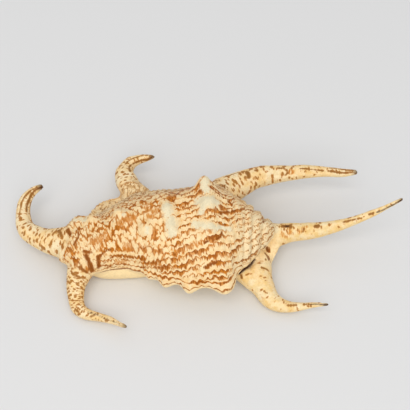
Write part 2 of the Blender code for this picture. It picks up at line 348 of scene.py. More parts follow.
@dataclass(frozen=True)
class Whorl:
    """The body whorl and spire, as sections across the shell's axis.

    Attributes:
        sections: x, y of the columella edge, y of the crest, y of the outer edge, z of
            the edge, z of the crest and z of the belly, from the siphonal end on.
        sides: Points round a section.
        step: Spacing of the sections that are made.
    """

    sections: tuple[tuple[float, ...], ...] = (
        (-86.0, -7.0, -1.0, 5.0, 13.0, 19.0, 8.0),
        (-80.0, -11.0, 0.0, 9.0, 14.0, 24.0, 6.0),
        (-74.0, -14.0, 2.0, 16.0, 14.0, 27.5, 4.5),
        (-64.0, -16.0, 4.0, 25.0, 14.0, 30.5, 2.5),
        (-54.0, -13.5, 6.0, 33.0, 14.0, 34.0, 1.5),
        (-44.0, -13.5, 8.0, 39.0, 14.0, 38.5, 1.0),
        (-36.0, -17.0, 10.0, 41.0, 14.5, 41.5, 1.0),
        (-26.0, -22.5, 12.0, 42.0, 15.5, 44.0, 1.0),
        (-14.0, -26.5, 13.0, 42.0, 16.5, 45.0, 1.0),
        (-4.0, -29.0, 13.5, 41.0, 17.5, 46.0, 1.5),
        (4.0, -29.5, 13.5, 40.0, 18.0, 46.0, 2.0),
        (10.0, -28.5, 12.5, 37.0, 18.5, 44.0, 3.0),
        (12.6, -26.8, 11.6, 35.5, 18.8, 42.7, 4.3),
        (14.8, -22.3, 10.8, 34.0, 19.1, 41.5, 5.4),
        (18.0, -18.8, 9.5, 31.5, 19.5, 39.5, 7.0),
        (22.0, -15.6, 8.5, 28.5, 20.0, 37.0, 9.0),
        (26.0, -11.2, 8.0, 25.0, 20.5, 34.5, 12.0),
        (30.0, -6.8, 7.5, 20.0, 21.5, 32.0, 14.5),
        (34.0, -2.0, 7.0, 14.5, 22.0, 29.0, 17.5),
        (38.0, 3.5, 7.0, 9.5, 23.0, 25.5, 21.0),
    )
    sides: int = 96
    step: float = 1.5

    def at(self, x: np.ndarray) -> dict[str, np.ndarray]:
        """Read the section's sizes at any place along the shell.

        Args:
            x: Places along the shell.

        Returns:
            Arrays named edge_y, crest_y, outer_y, edge_z, crest_z and belly_z.
        """
        rows = smooth_line(self.sections, 1.0)
        names = ("edge_y", "crest_y", "outer_y", "edge_z", "crest_z", "belly_z")
        return {name: np.interp(x, rows[:, 0], rows[:, k + 1])
                for k, name in enumerate(names)}

    def surface(self, x: np.ndarray, angle: np.ndarray) -> np.ndarray:
        """Place points on the whorl.

        Args:
            x: Places along the shell.
            angle: Angles round the section: 0 at the outer edge, a quarter turn up.

        Returns:
            The points.
        """
        size = self.at(x)
        side, height = np.cos(angle), np.sin(angle)
        power = np.where(height < 0.0, Quarter.BELLY.value,
                         np.where(side > 0.0, Quarter.OUTER_SLOPE.value,
                                  Quarter.BACK.value))
        reach_y = np.where(side >= 0.0, size["outer_y"] - size["crest_y"],
                           size["crest_y"] - size["edge_y"])
        reach_z = np.where(height >= 0.0, size["crest_z"] - size["edge_z"],
                           size["edge_z"] - size["belly_z"])
        y = size["crest_y"] + reach_y * np.sign(side) * np.abs(side) ** (2.0 / power)
        z = size["edge_z"] + reach_z * np.sign(height) * np.abs(height) ** (2.0 / power)
        return np.stack([x, y, z], 1)


@dataclass(frozen=True)
class Lip:
    """The flared outer lip and the web behind it, as a sheet with a thick margin.

    Attributes:
        margin: Points along the lip's margin.
        root: Points inside the whorl that the sheet spreads from.
        thickness: Thickness of the sheet.
        along: Faces along the margin.
        across: Faces from the root to the margin.
        ruffle: Height of the ruffles at the margin.
        ruffles: How many radians of ruffles the margin has.
    """

    margin: tuple[tuple[float, float, float], ...] = (
        (-78.0, 12.0, 9.0), (-72.0, 22.0, 7.0), (-70.6, 32.0, 6.0), (-66.6, 39.6, 5.0),
        (-58.0, 43.5, 7.0), (-46.0, 46.0, 9.0), (-38.0, 47.0, 4.5), (-30.0, 50.5, 3.5),
        (-20.0, 52.0, 3.5), (-10.0, 51.0, 3.5), (0.0, 47.0, 6.0), (10.0, 41.0, 11.0),
        (19.4, 33.0, 13.0), (28.0, 27.5, 12.5), (33.5, 23.5, 12.5), (38.5, 18.5, 12.0),
        (40.5, 12.0, 12.0), (41.0, 4.0, 9.0), (37.5, -1.0, 7.5), (35.0, -9.0, 6.5),
    )
    root: tuple[tuple[float, float, float], ...] = (
        (-66.0, 4.0, 14.0), (-60.0, 10.0, 14.0), (-55.0, 14.0, 15.0), (-48.0, 18.0, 16.0),
        (-44.0, 20.0, 17.0), (-38.0, 20.0, 18.0), (-32.0, 21.0, 18.0), (-26.0, 22.0, 18.0),
        (-20.0, 22.0, 18.0), (-12.0, 22.0, 18.0), (-4.0, 20.0, 18.0), (2.0, 17.0, 17.0),
        (8.0, 14.0, 16.0), (12.0, 11.0, 15.0), (15.0, 9.0, 14.0), (17.0, 7.0, 13.0),
        (18.0, 4.0, 12.0), (18.0, 0.0, 11.0), (17.0, -4.0, 10.0), (16.0, -8.0, 9.0),
    )
    thickness: float = 6.0
    along: int = 90
    across: int = 12
    ruffle: float = 1.1
    ruffles: float = 70.0


@dataclass(frozen=True)
class Aperture:
    """The slit-like mouth under the shell, and the hollow that it leads to.

    Attributes:
        line: x, y and half width along the slit.
        sides: Points round the slit's cutter.
        stretch: Height of the cutter's section, in widths.
        rise: How far the upper half of the section is moved up.
        hollow: x, y, z and radius along the hollow of the last whorl.
        hollow_sides: Points round the hollow's cutter.
    """

    line: tuple[tuple[float, float, float], ...] = (
        (-66.0, -2.0, 1.6), (-58.0, 7.0, 2.8), (-48.0, 13.5, 4.2), (-36.0, 18.0, 5.4),
        (-20.0, 20.5, 6.2), (-4.0, 18.5, 5.8), (8.0, 12.5, 4.6), (17.0, 4.0, 3.0),
        (23.0, -5.0, 1.6),
    )
    sides: int = 20
    stretch: float = 2.2
    rise: float = 9.0
    hollow: tuple[tuple[float, float, float, float], ...] = (
        (-56.0, 11.0, 13.0, 4.0), (-44.0, 16.0, 16.0, 8.0), (-28.0, 18.0, 20.0, 10.5),
        (-10.0, 18.0, 22.0, 11.5), (4.0, 15.0, 21.0, 10.0), (12.0, 10.0, 20.0, 5.0),
    )
    hollow_sides: int = 28


WHORL = Whorl()
LIP = Lip()
APERTURE = Aperture()


# ---- modelling the forms ----------------------------------------------------------------

class Former:
    """Models the shell's forms with primitives and edit-mode tools, in millimetres."""

    @staticmethod
    def named(name: str) -> bpy.types.Object:
        """Name the active object.

        Args:
            name: The name.

        Returns:
            The object.
        """
        item = bpy.context.object
        item.name = name
        return item

    def tube(self, form: Tube, sides: int = 24) -> bpy.types.Object:
        """Extrude a ring along a centre line, turning and scaling it at each step.

        Args:
            form: The tube's line and radii.
            sides: Points round a ring.

        Returns:
            A closed tube.
        """
        return self.sweep(form.name, form.line(), sides)

    def sweep(self, name: str, line: np.ndarray, sides: int) -> bpy.types.Object:
        """Extrude a ring along rows of x, y, z and radius.

        Args:
            name: The new object's name.
            line: The rows.
            sides: Points round a ring.

        Returns:
            A closed tube.
        """
        points = [Vector(row[:3]) for row in line]
        radii = line[:, 3]
        tangents = [(points[min(i + 1, len(points) - 1)] - points[max(i - 1, 0)]).normalized()
                    for i in range(len(points))]
        turn = Vector((0.0, 0.0, 1.0)).rotation_difference(tangents[0])
        deselect()
        bpy.ops.mesh.primitive_circle_add(vertices=sides, radius=radii[0], fill_type='NGON',
                                          location=points[0], rotation=turn.to_euler())
        item = self.named(name)
        bpy.ops.object.transform_apply(location=True, rotation=True, scale=True)
        bpy.ops.object.mode_set(mode='EDIT')
        bpy.ops.mesh.select_all(action='SELECT')
        for i in range(1, len(points)):
            bpy.ops.mesh.extrude_region_move(
                TRANSFORM_OT_translate={"value": points[i] - points[i - 1]})
            bend = tangents[i - 1].rotation_difference(tangents[i]).to_euler('XYZ')
            for axis, angle in zip('XYZ', bend):
                bpy.ops.transform.rotate(value=-angle, orient_axis=axis,
                                         center_override=points[i])
            scale = radii[i] / radii[i - 1]
            bpy.ops.transform.resize(value=(scale, scale, scale), center_override=points[i])
        bpy.ops.mesh.select_all(action='SELECT')
        bpy.ops.mesh.normals_make_consistent(inside=False)
        bpy.ops.object.mode_set(mode='OBJECT')
        return item

    def whorl(self, form: Whorl) -> bpy.types.Object:
        """Extrude a ring along the shell, and sculpt each ring to its section.

        Args:
            form: The whorl's sections.

        Returns:
            The closed body whorl and spire.
        """
        first, last = form.sections[0][0], form.sections[-1][0]
        count = int(round((last - first) / form.step))
        deselect()
        bpy.ops.mesh.primitive_circle_add(vertices=form.sides, radius=1.0, fill_type='NGON',
                                          location=(first, 0.0, 0.0),
                                          rotation=(0.0, math.radians(90.0), 0.0))
        item = self.named("whorl")
        bpy.ops.object.transform_apply(location=True, rotation=True, scale=True)
        bpy.ops.object.mode_set(mode='EDIT')
        bpy.ops.mesh.select_all(action='SELECT')
        for _ in range(count):
            bpy.ops.mesh.extrude_region_move(
                TRANSFORM_OT_translate={"value": ((last - first) / count, 0.0, 0.0)})
        bpy.ops.object.mode_set(mode='OBJECT')
        points = read_points(item)
        angle = np.arctan2(points[:, 2], points[:, 1])
        write_points(item, form.surface(points[:, 0], angle))
        return item

    def lip(self, form: Lip) -> bpy.types.Object:
        """Spread a grid from the whorl to the lip's margin, and give it thickness.

        Args:
            form: The lip's margin and root.

        Returns:
            The thick lip.
        """
        deselect()
        bpy.ops.mesh.primitive_grid_add(x_subdivisions=form.along,
                                        y_subdivisions=form.across, size=1.0)
        item = self.named("lip")
        points = read_points(item)
        u, v = points[:, 0] + 0.5, points[:, 1] + 0.5
        outer, inner = (
            np.stack([np.interp(u, np.linspace(0, 1, len(edge)), column)
                      for column in edge.T], 1)
            for edge in (smooth_line(form.margin, 1.0), smooth_line(form.root, 1.0)))
        spread = inner + (outer - inner) * v[:, None]
        spread[:, 2] += form.ruffle * np.sin(u * form.ruffles) * v ** 4
        write_points(item, spread)
        thick = item.modifiers.new("thickness", 'SOLIDIFY')
        thick.thickness = form.thickness
        thick.offset = 0.0
        apply_modifiers(item)
        return item

    def slit(self, form: Aperture) -> bpy.types.Object:
        """Extrude the aperture's cutter along its line.

        Args:
            form: The aperture's line and widths.

        Returns:
            The cutter of the slit.
        """
        rows = [(x, y, 0.0, half) for x, y, half in form.line]
        item = self.sweep("slit", smooth_line(rows, 2.0), form.sides)
        points = read_points(item)
        points[:, 2] *= form.stretch
        points[points[:, 2] > 0.0, 2] += form.rise
        write_points(item, points)
        return item

    def fuse(self, items: Iterable[bpy.types.Object], voxel: float,
             rounds: int) -> bpy.types.Object:
        """Join overlapping forms and remesh them into one closed skin.

        Args:
            items: The forms.
            voxel: Size of the remesh's voxels.
            rounds: Rounds of smoothing.

        Returns:
            The fused object.
        """
        items = list(items)
        deselect()
        for item in items:
            item.select_set(True)
        bpy.context.view_layer.objects.active = items[0]
        bpy.ops.object.join()
        fused = bpy.context.object
        self.remesh(fused, voxel, rounds)
        return fused

    @staticmethod
    def remesh(item: bpy.types.Object, voxel: float, rounds: int) -> None:
        """Give an object an even skin of voxel-sized faces, and soften it.

        Args:
            item: The object.
            voxel: Size of the voxels.
            rounds: Rounds of smoothing.
        """
        skin = item.modifiers.new("skin", 'REMESH')
        skin.mode = 'VOXEL'
        skin.voxel_size = voxel
        if rounds:
            soften = item.modifiers.new("soften", 'SMOOTH')
            soften.factor = 0.5
            soften.iterations = rounds
        apply_modifiers(item)

    @staticmethod
    def carve(item: bpy.types.Object, cutter: bpy.types.Object) -> None:
        """Cut one form out of another, and drop the cutter.

        Args:
            item: The object that is cut.
            cutter: The form that is taken out of it.
        """
        boolean = item.modifiers.new("carve", 'BOOLEAN')
        boolean.operation = 'DIFFERENCE'
        boolean.solver = 'EXACT'
        boolean.object = cutter
        apply_modifiers(item)
        bpy.data.objects.remove(cutter, do_unlink=True)


# ---- measuring and carving the relief ---------------------------------------------------

@dataclass(frozen=True)
class Ridge:
    """A spiral ridge with knobs on the back of the shell.

    Attributes:
        path: Angle round the whorl in degrees and x along the shell, from the columella
            edge over the back to the outer lip.
        heights: Angle in degrees and height of the ridge there.
        knobs: Angle in degrees, height and half length of each knob.
        width: Half width of the ridge.
    """

    path: tuple[tuple[float, float], ...]
    heights: tuple[tuple[float, float], ...]
    knobs: tuple[tuple[float, float, float], ...]
    width: float


RIDGES = (
    Ridge(path=((200, 10.0), (180, 8.7), (150, 4.0), (125, -0.5), (100, -0.3), (80, -2.4),
                (55, -2.0), (30, 3.0), (10, 9.0)),
          heights=((205, 0.0), (190, 1.5), (160, 0.8), (130, 1.6), (90, 2.6), (55, 1.5),
                   (20, 1.2), (0, 0.0)),
          knobs=((181, 3.6, 4.0), (130, 2.0, 6.0), (105, 3.0, 5.5), (78, 6.6, 4.6)),
          width=5.2),
    Ridge(path=((200, -9.0), (180, -10.5), (150, -15.0), (125, -21.0), (102, -23.5),
                (75, -26.0), (40, -28.0), (0, -28.0)),
          heights=((205, 0.0), (190, 1.3), (160, 0.7), (125, 1.4), (95, 1.6), (60, 0.8),
                   (0, 0.0)),
          knobs=((181, 3.4, 4.2), (127, 2.5, 5.0), (107, 2.7, 4.6)),
          width=4.4),
    Ridge(path=((200, -22.5), (180, -23.8), (150, -28.0), (123, -34.8), (90, -39.0),
                (50, -42.0), (0, -45.0)),
          heights=((205, 0.0), (190, 1.2), (160, 0.6), (120, 1.2), (80, 0.9), (40, 0.9),
                   (0, 0.0)),
          knobs=((181, 2.8, 3.6), (122, 2.4, 4.5)),
          width=3.8),
    Ridge(path=((200, -32.0), (180, -33.0), (150, -37.0), (115, -45.0), (82, -51.0),
                (45, -53.0), (0, -54.0)),
          heights=((205, 0.0), (190, 0.9), (160, 0.5), (110, 0.9), (70, 0.9), (30, 0.6),
                   (0, 0.0)),
          knobs=((181, 1.6, 3.0), (84, 2.6, 4.2)),
          width=3.4),
    Ridge(path=((200, -41.0), (180, -42.0), (150, -46.0), (110, -57.0), (80, -64.0),
                (45, -68.0), (0, -70.0)),
          heights=((200, 0.0), (180, 0.6), (120, 0.8), (80, 1.1), (40, 0.6), (0, 0.0)),
          knobs=((181, 0.8, 2.5), (66, 3.2, 4.5)),
          width=3.2),
)


# Swellings of the wall, and hollows where the height is below zero: place, width, height
LUMPS = (((-75.0, 11.0, 24.0), 6.0, 4.0), ((-58.0, 36.0, 18.0), 5.0, 1.5),
         ((-69.0, 27.0, 17.0), 3.5, -2.0), ((-54.5, 40.5, 14.0), 8.0, -3.2),
         ((-24.0, 28.5, 34.0), 11.0, -1.6), ((-54.0, 45.5, 17.5), 5.5, 2.2),
         ((-40.5, 49.5, 19.5), 6.0, -1.8), ((-36.5, 43.0, 17.5), 5.0, 1.5))

# Angle from which the knobs stand on the columella edge and are not worn pale
COLUMELLA_KNOBS = 170.0

# Seams of the spire: place along the shell, depth, width
SEAMS = ((24.4, 0.8, 0.9), (29.0, 0.9, 1.1), (35.0, 0.8, 0.9))

# Spacing of the spiral cords, the finer ones, the folds of growth and the lips' ribs
CORDS = 4.1
FINE_CORDS = 1.95
FOLDS = 2.6
RIBS = 2.7

# Angle round the whorl, and how far the cords lean towards the spire there
SLANT = ((-20.0, 2.0), (20.0, 0.5), (60.0, 0.0), (100.0, 1.0), (140.0, 5.5), (180.0, 11.0),
         (220.0, 13.0))

# Lowest angle of the outer slope, under which it counts as level
SLOPE_FOOT = -20.0

# Where the whorl's near rim ends on the left and on the right, and how far it drops away
RIM_ENDS = ((-60.0, -68.0), (18.0, 24.0))
RIM_DROP = 20.0

# How much more or less pigment each part of the shell has than the plain back
PLAIN_DOSE = 0.01
DOSES = {"middle": 0.05, "wild": -0.05, "knob": -0.3, "right": -0.08, "spire": -0.14,
         "slope": -0.04, "corner": -0.3, "spike": -0.25}

# The corner by the siphonal canal, pale between its strokes
CORNER = (-66.0, -13.0, 20.0)

# The tallest knob
SPIKE = (-1.0, 16.0, 54.0)

# The groove between the last whorl and the web of the two digits at the spire
CREVICE_DEPTH = 1.6
CREVICE_WIDTH = 1.3
CREVICE = ((19.5, -11.0, 6.5), (21.5, -12.2, 10.6), (23.8, -11.9, 14.4), (26.1, -9.8, 15.9),
           (28.5, -6.4, 15.4), (29.8, -3.6, 14.8), (31.1, -0.2, 13.0), (33.5, 1.7, 12.8),
           (35.7, 4.0, 15.6), (37.9, 5.8, 19.2))

# Strokes that fan out from the corner by the siphonal canal
CORNER_MARKS = (
    Mark(Tint.UMBER, 1.5, ((-65.9, -16.3, 16.0), (-67.4, -14.1, 20.6), (-69.0, -11.7, 23.0)), 1.1),
    Mark(Tint.UMBER, 1.3, ((-62.2, -15.2, 17.4), (-62.2, -12.7, 23.4)), 1.1),
    Mark(Tint.UMBER, 0.8, ((-61.5, -12.5, 23.6), (-58.2, -10.2, 25.7), (-55.4, -9.5, 26.6))),
    Mark(Tint.UMBER, 1.0, ((-60.7, -14.7, 18.6), (-56.1, -12.6, 21.4), (-52.4, -11.6, 22.9),
                           (-48.1, -12.1, 23.5), (-43.5, -13.0, 23.8), (-36.1, -16.0, 24.9)),
         0.75),
    Mark(Tint.UMBER, 0.9, ((-61.0, -15.4, 14.3), (-55.8, -13.7, 16.3), (-49.0, -12.9, 17.6),
                           (-43.8, -14.4, 17.2), (-36.3, -17.2, 19.1)), 0.7),
    Mark(Tint.UMBER, 0.6, ((-61.2, -14.8, 12.4), (-58.9, -14.3, 12.8), (-56.1, -13.6, 12.8),
                           (-50.4, -12.9, 13.0), (-44.5, -14.2, 14.1), (-39.9, -15.8, 14.5),
                           (-36.4, -18.0, 14.8)), 1.1),
    Mark(Tint.AMBER, 1.4, ((-53.0, -12.9, 18.2), (-47.0, -12.9, 19.0))),
    # A thin brown line low on the wall, just over the floor: painted shade where the shell meets
    # the floor
    Mark(Tint.UMBER, 0.45, ((-60.0, -13.1, 3.9), (-57.8, -12.9, 3.3), (-54.9, -13.1, 3.4)),
         0.8),
    Mark(Tint.UMBER, 1.1, ((-70.5, -9.5, 25.0), (-66.0, -10.5, 24.5)), 0.9),
    Mark(Tint.UMBER, 0.7, ((-74.2, -13.0, 20.6), (-71.9, -15.8, 19.5)), 0.9),
)

# Bolder pieces of the bands
BAND_MARKS = (
    Mark(Tint.UMBER, 0.8, ((1.0, 17.0, 50.3), (7.7, 13.5, 44.9), (13.4, 10.2, 42.5))),
    Mark(Tint.UMBER, 0.8, ((13.0, 5.0, 42.6), (16.2, 7.0, 40.8)), 1.1),
    Mark(Tint.UMBER, 0.7, ((17.9, 8.1, 39.9), (22.1, 13.9, 35.6)), 0.9),
    Mark(Tint.UMBER, 1.1, ((6.5, 1.5, 45.2), (11.0, 4.3, 42.7))),
    Mark(Tint.UMBER, 0.8, ((-1.9, -15.3, 40.3), (5.9, -13.0, 41.9), (7.5, -9.6, 42.1)), 1.2),
    Mark(Tint.UMBER, 1.2, ((-2.4, -25.1, 30.5), (4.2, -24.2, 33.9))),
    Mark(Tint.AMBER, 1.2, ((-6.3, 2.0, 46.3), (3.7, 2.2, 46.9)), 1.1),
    Mark(Tint.AMBER, 1.3, ((-17.4, -17.7, 35.4), (-10.2, -16.0, 37.7), (-2.4, -14.8, 40.6))),
    Mark(Tint.AMBER, 2.4, ((-49.7, 1.2, 35.7), (-45.7, 2.4, 37.8), (-42.3, 3.2, 39.6))),
    Mark(Tint.AMBER, 2.0, ((-46.5, -9.5, 28.5), (-44.0, -9.5, 29.0)), 1.1),
    Mark(Tint.AMBER, 3.0, ((-65.7, -4.7, 28.7), (-62.2, -6.7, 28.6), (-59.4, -3.6, 30.9))),
    Mark(Tint.AMBER, 2.6, ((-35.1, 9.8, 42.2), (-31.0, 3.8, 42.4)), 0.9),
    Mark(Tint.AMBER, 2.4, ((-28.2, 5.8, 44.4), (-32.7, 2.1, 41.8)), 0.9),
)

# Stains on the digits
DIGIT_MARKS = (
    Mark(Tint.UMBER, 0.65, ((-102.1, 41.2, 21.4), (-105.3, 39.8, 20.3), (-107.8, 37.2, 19.6),
                           (-109.7, 34.3, 19.0), (-110.6, 30.8, 18.1), (-110.9, 26.7, 17.5),
                           (-111.2, 23.4, 16.8))),
    Mark(Tint.UMBER, 0.85, ((-98.9, 41.6, 21.0), (-102.1, 40.4, 20.5), (-104.5, 38.8, 19.2),
                           (-105.9, 36.5, 18.2), (-106.9, 33.7, 17.4), (-107.5, 30.6, 17.3),
                           (-107.2, 27.3, 16.7)), 1.1),
    Mark(Tint.UMBER, 0.6, ((-105.3, 34.7, 16.2), (-105.8, 32.3, 15.3), (-105.0, 25.0, 13.5),
                           (-102.9, 19.4, 14.3), (-99.7, 15.6, 16.6)), 0.9),
    Mark(Tint.UMBER, 1.4, ((-86.4, 8.5, 21.3), (-84.5, 4.2, 22.1))),
    Mark(Tint.UMBER, 1.3, ((-80.8, 6.3, 24.1), (-79.1, 3.1, 24.4)), 1.2),
    Mark(Tint.UMBER, 1.0, ((-75.1, 3.5, 27.5), (-74.0, -0.3, 27.7), (-76.1, -5.0, 25.4))),
    Mark(Tint.UMBER, 0.55, ((-34.2, 67.2, 20.3), (-38.5, 68.5, 19.7), (-42.2, 68.5, 18.8),
                           (-45.9, 67.3, 18.3), (-48.8, 64.9, 18.3), (-50.5, 62.0, 18.7),
                           (-52.1, 57.9, 19.7))),
    Mark(Tint.UMBER, 0.75, ((-34.8, 66.7, 19.9), (-36.6, 66.2, 18.6), (-40.3, 66.2, 17.8),
                           (-44.0, 65.5, 16.7), (-46.4, 63.7, 16.8), (-48.0, 60.1, 18.2),
                           (-47.1, 55.3, 19.8)), 1.1),
    Mark(Tint.UMBER, 0.6, ((9.4, 45.6, 25.4), (18.1, 49.6, 25.3))),
    Mark(Tint.UMBER, 1.2, ((23.2, 49.0, 26.1), (24.0, 45.4, 25.7)), 1.2),
    Mark(Tint.UMBER, 1.1, ((28.6, 50.5, 26.2),), 1.2),
    Mark(Tint.UMBER, 0.8, ((41.5, 52.4, 25.8), (44.8, 52.4, 25.9), (46.8, 51.1, 25.5),
                           (47.4, 49.8, 24.7), (46.0, 48.8, 23.6))),
    Mark(Tint.AMBER, 1.6, ((48.9, 50.6, 25.1),), 0.9),
    Mark(Tint.UMBER, 0.6, ((55.0, 52.5, 25.3), (59.5, 52.8, 24.9), (64.1, 52.8, 24.1),
                           (69.0, 52.8, 23.1))),
    Mark(Tint.UMBER, 0.65, ((71.7, 54.5, 23.5), (76.3, 54.8, 23.1), (82.3, 53.9, 22.8),
                           (87.1, 53.8, 22.5))),
    Mark(Tint.UMBER, 0.75, ((72.3, 52.9, 23.0), (75.6, 52.4, 22.7), (79.8, 52.1, 22.1),
                           (87.3, 52.6, 22.0)), 1.1),
    Mark(Tint.UMBER, 1.3, ((43.3, 11.7, 21.0), (47.3, 11.5, 21.3)), 1.2),
    Mark(Tint.STAIN_AND_SHADE, 0.6, ((44.6, 11.6, 21.1), (46.2, 11.5, 21.3))),
    Mark(Tint.UMBER, 0.7, ((48.3, 13.3, 20.9),)),
    Mark(Tint.AMBER, 1.8, ((46.4, 7.1, 19.3), (43.8, 7.9, 20.2)), 0.75),
    Mark(Tint.UMBER, 0.6, ((54.5, 8.4, 20.1), (55.2, 10.0, 21.3)), 0.9),
    Mark(Tint.AMBER, 1.3, ((43.2, 6.2, 18.6), (44.9, 7.5, 19.8), (46.1, 10.1, 21.1)), 0.6),
    Mark(Tint.AMBER, 1.2, ((52.5, 8.3, 20.2), (54.5, 9.6, 21.0), (56.5, 10.6, 21.5)), 0.5),
    Mark(Tint.UMBER, 1.1, ((61.8, 10.9, 22.0), (63.4, 10.9, 22.1)), 1.2),
    Mark(Tint.UMBER, 0.6, ((77.8, 12.2, 24.1), (82.4, 12.9, 25.0), (88.1, 13.5, 26.1))),
    Mark(Tint.UMBER, 0.8, ((92.6, 15.0, 27.8), (94.8, 15.4, 28.3))),
    Mark(Tint.STAIN_AND_SHADE, 0.5, ((96.9, 15.6, 29.0), (100.6, 16.5, 30.2), (105.6, 17.9, 32.5),
                          (111.2, 19.9, 35.1))),
    Mark(Tint.UMBER, 0.6, ((31.4, -27.2, 10.8), (32.8, -28.3, 10.5))),
    Mark(Tint.UMBER, 0.7, ((44.5, -34.8, 8.0), (49.5, -35.2, 8.5))),
    Mark(Tint.UMBER, 0.8, ((53.7, -35.0, 9.2), (57.0, -35.3, 9.6))),
    Mark(Tint.STAIN_AND_SHADE, 0.5, ((57.0, -35.3, 9.6), (61.1, -35.7, 10.2), (66.4, -36.6, 10.5))),
    Mark(Tint.UMBER, 0.8, ((-67.6, -18.7, 10.2), (-72.4, -21.2, 16.0), (-77.6, -18.4, 16.4))),
    Mark(Tint.UMBER, 0.8, ((-66.6, -16.8, 10.0), (-69.4, -18.0, 16.9), (-73.3, -16.5, 19.1))),
    Mark(Tint.UMBER, 0.7, ((-69.2, -21.8, 12.0), (-75.7, -21.2, 16.0))),
    Mark(Tint.UMBER, 0.7, ((-74.8, -36.8, 6.9), (-73.0, -38.3, 6.3))),
    Mark(Tint.UMBER, 0.7, ((-66.2, -41.1, 6.2), (-63.9, -40.8, 6.8), (-61.7, -40.4, 7.2))),
    Mark(Tint.UMBER, 0.6, ((-57.6, -44.4, 7.2), (-56.1, -44.9, 7.8))),
    Mark(Tint.STAIN_AND_SHADE, 0.45, ((-67.4, -38.9, 7.0), (-63.4, -40.2, 7.0), (-59.3, -42.6, 7.4),
                           (-56.4, -44.3, 8.0), (-53.5, -46.0, 8.5), (-50.6, -47.8, 9.2),
                           (-48.9, -49.3, 9.4)), 0.8),
)

# Painted shade in the gap under the rim of the whorl, by the digit at its foot, laid as dark and
# brown lines
GAP_SHADE_MARKS = (
    Mark(Tint.STAIN_AND_SHADE, 1.0, ((15.5, -18.5, 12.0), (17.2, -16.0, 12.5), (19.2, -14.7, 13.6),
                          (20.6, -13.8, 14.3), (22.3, -12.1, 13.7), (23.9, -10.8, 13.9),
                          (25.0, -9.5, 15.0), (26.0, -8.6, 15.8)), 1.15),
    Mark(Tint.UMBER, 0.9, ((27.0, -9.4, 20.0), (29.4, -7.0, 20.0), (31.0, -4.8, 20.3),
                           (32.5, -3.3, 22.5))),
    Mark(Tint.UMBER, 0.8, ((18.6, -16.8, 11.9), (18.9, -17.9, 11.0)), 1.2),
    Mark(Tint.STAIN_AND_SHADE, 0.5, ((31.7, -4.3, 23.2), (31.5, -4.1, 20.1)), 0.8),
    Mark(Tint.UMBER, 0.8, ((32.6, -3.7, 14.5), (34.5, -3.1, 11.8), (35.0, -5.1, 11.5))),
)

# Small stains on the spire and on the web below it, and painted shade along the groove between
# them
SPIRE_MARKS = (
    Mark(Tint.UMBER, 1.4, ((30.8, 11.7, 29.7), (31.3, 7.6, 29.7)), 0.9),
    Mark(Tint.STAIN_AND_SHADE, 0.8, ((37.2, 20.1, 15.4),)),
    # This line and the next follow the groove: painted shade in it, with a brown line
    Mark(Tint.UMBER, 0.6, ((35.1, 3.9, 15.9), (33.2, 2.8, 14.6), (31.6, 1.1, 13.9),
                           (31.6, -1.0, 14.4), (32.1, -2.4, 14.7), (33.9, -3.0, 12.6))),
    Mark(Tint.UMBER, 1.1, ((34.1, 2.7, 11.8), (34.6, 0.5, 11.9)), 1.2),
    Mark(Tint.UMBER, 1.0, ((33.8, -4.2, 13.3), (34.3, -6.1, 12.9)), 1.2),
    Mark(Tint.UMBER, 0.8, ((32.8, -7.6, 14.8),)),
    Mark(Tint.UMBER, 0.7, ((30.0, -13.4, 15.0), (32.1, -13.7, 14.1), (34.1, -14.0, 12.5))),
    # This one follows the groove's lower end: painted shade
    Mark(Tint.UMBER, 0.8, ((21.0, -11.5, 11.0), (20.8, -13.5, 7.5))),
)

# Knobs that are worn to bare white shell
WORN_MARKS = (
    Mark(Tint.CHALK, 3.0, ((-23.3, 5.0, 48.0), (-23.0, 0.5, 46.2))),
    Mark(Tint.CHALK, 3.0, ((-20.5, -3.5, 45.3), (-20.7, -9.9, 42.0))),
    Mark(Tint.CHALK, 3.4, ((-5.0, 8.0, 47.6), (-1.0, 6.0, 50.5), (3.6, 7.0, 49.2))),
    Mark(Tint.CHALK, 2.4, ((-3.4, 3.2, 48.3), (-3.8, 1.0, 47.0)), 0.9),
    Mark(Tint.CHALK, 3.0, ((-1.0, 22.0, 51.4), (-2.4, 18.9, 51.5), (-1.5, 15.0, 50.3)), 0.9),
    Mark(Tint.CHALK, 2.6, ((-6.9, -5.1, 43.5), (-1.9, -8.3, 45.7), (3.1, -9.3, 45.2)), 0.9),
    Mark(Tint.CHALK, 1.8, ((3.1, -9.3, 45.2), (7.0, -6.8, 42.7), (12.0, -6.4, 40.7)), 0.85),
    Mark(Tint.CHALK, 1.6, ((-34.0, -6.0, 41.0), (-34.1, -8.0, 40.0)), 0.9),
    Mark(Tint.CHALK, 1.6, ((-48.1, 6.0, 38.8),), 0.8),
    Mark(Tint.CHALK, 2.4, ((-77.0, 11.5, 27.0), (-71.0, 10.5, 28.5)), 0.75),
)
MARKS = CORNER_MARKS + BAND_MARKS + DIGIT_MARKS + GAP_SHADE_MARKS + SPIRE_MARKS + WORN_MARKS


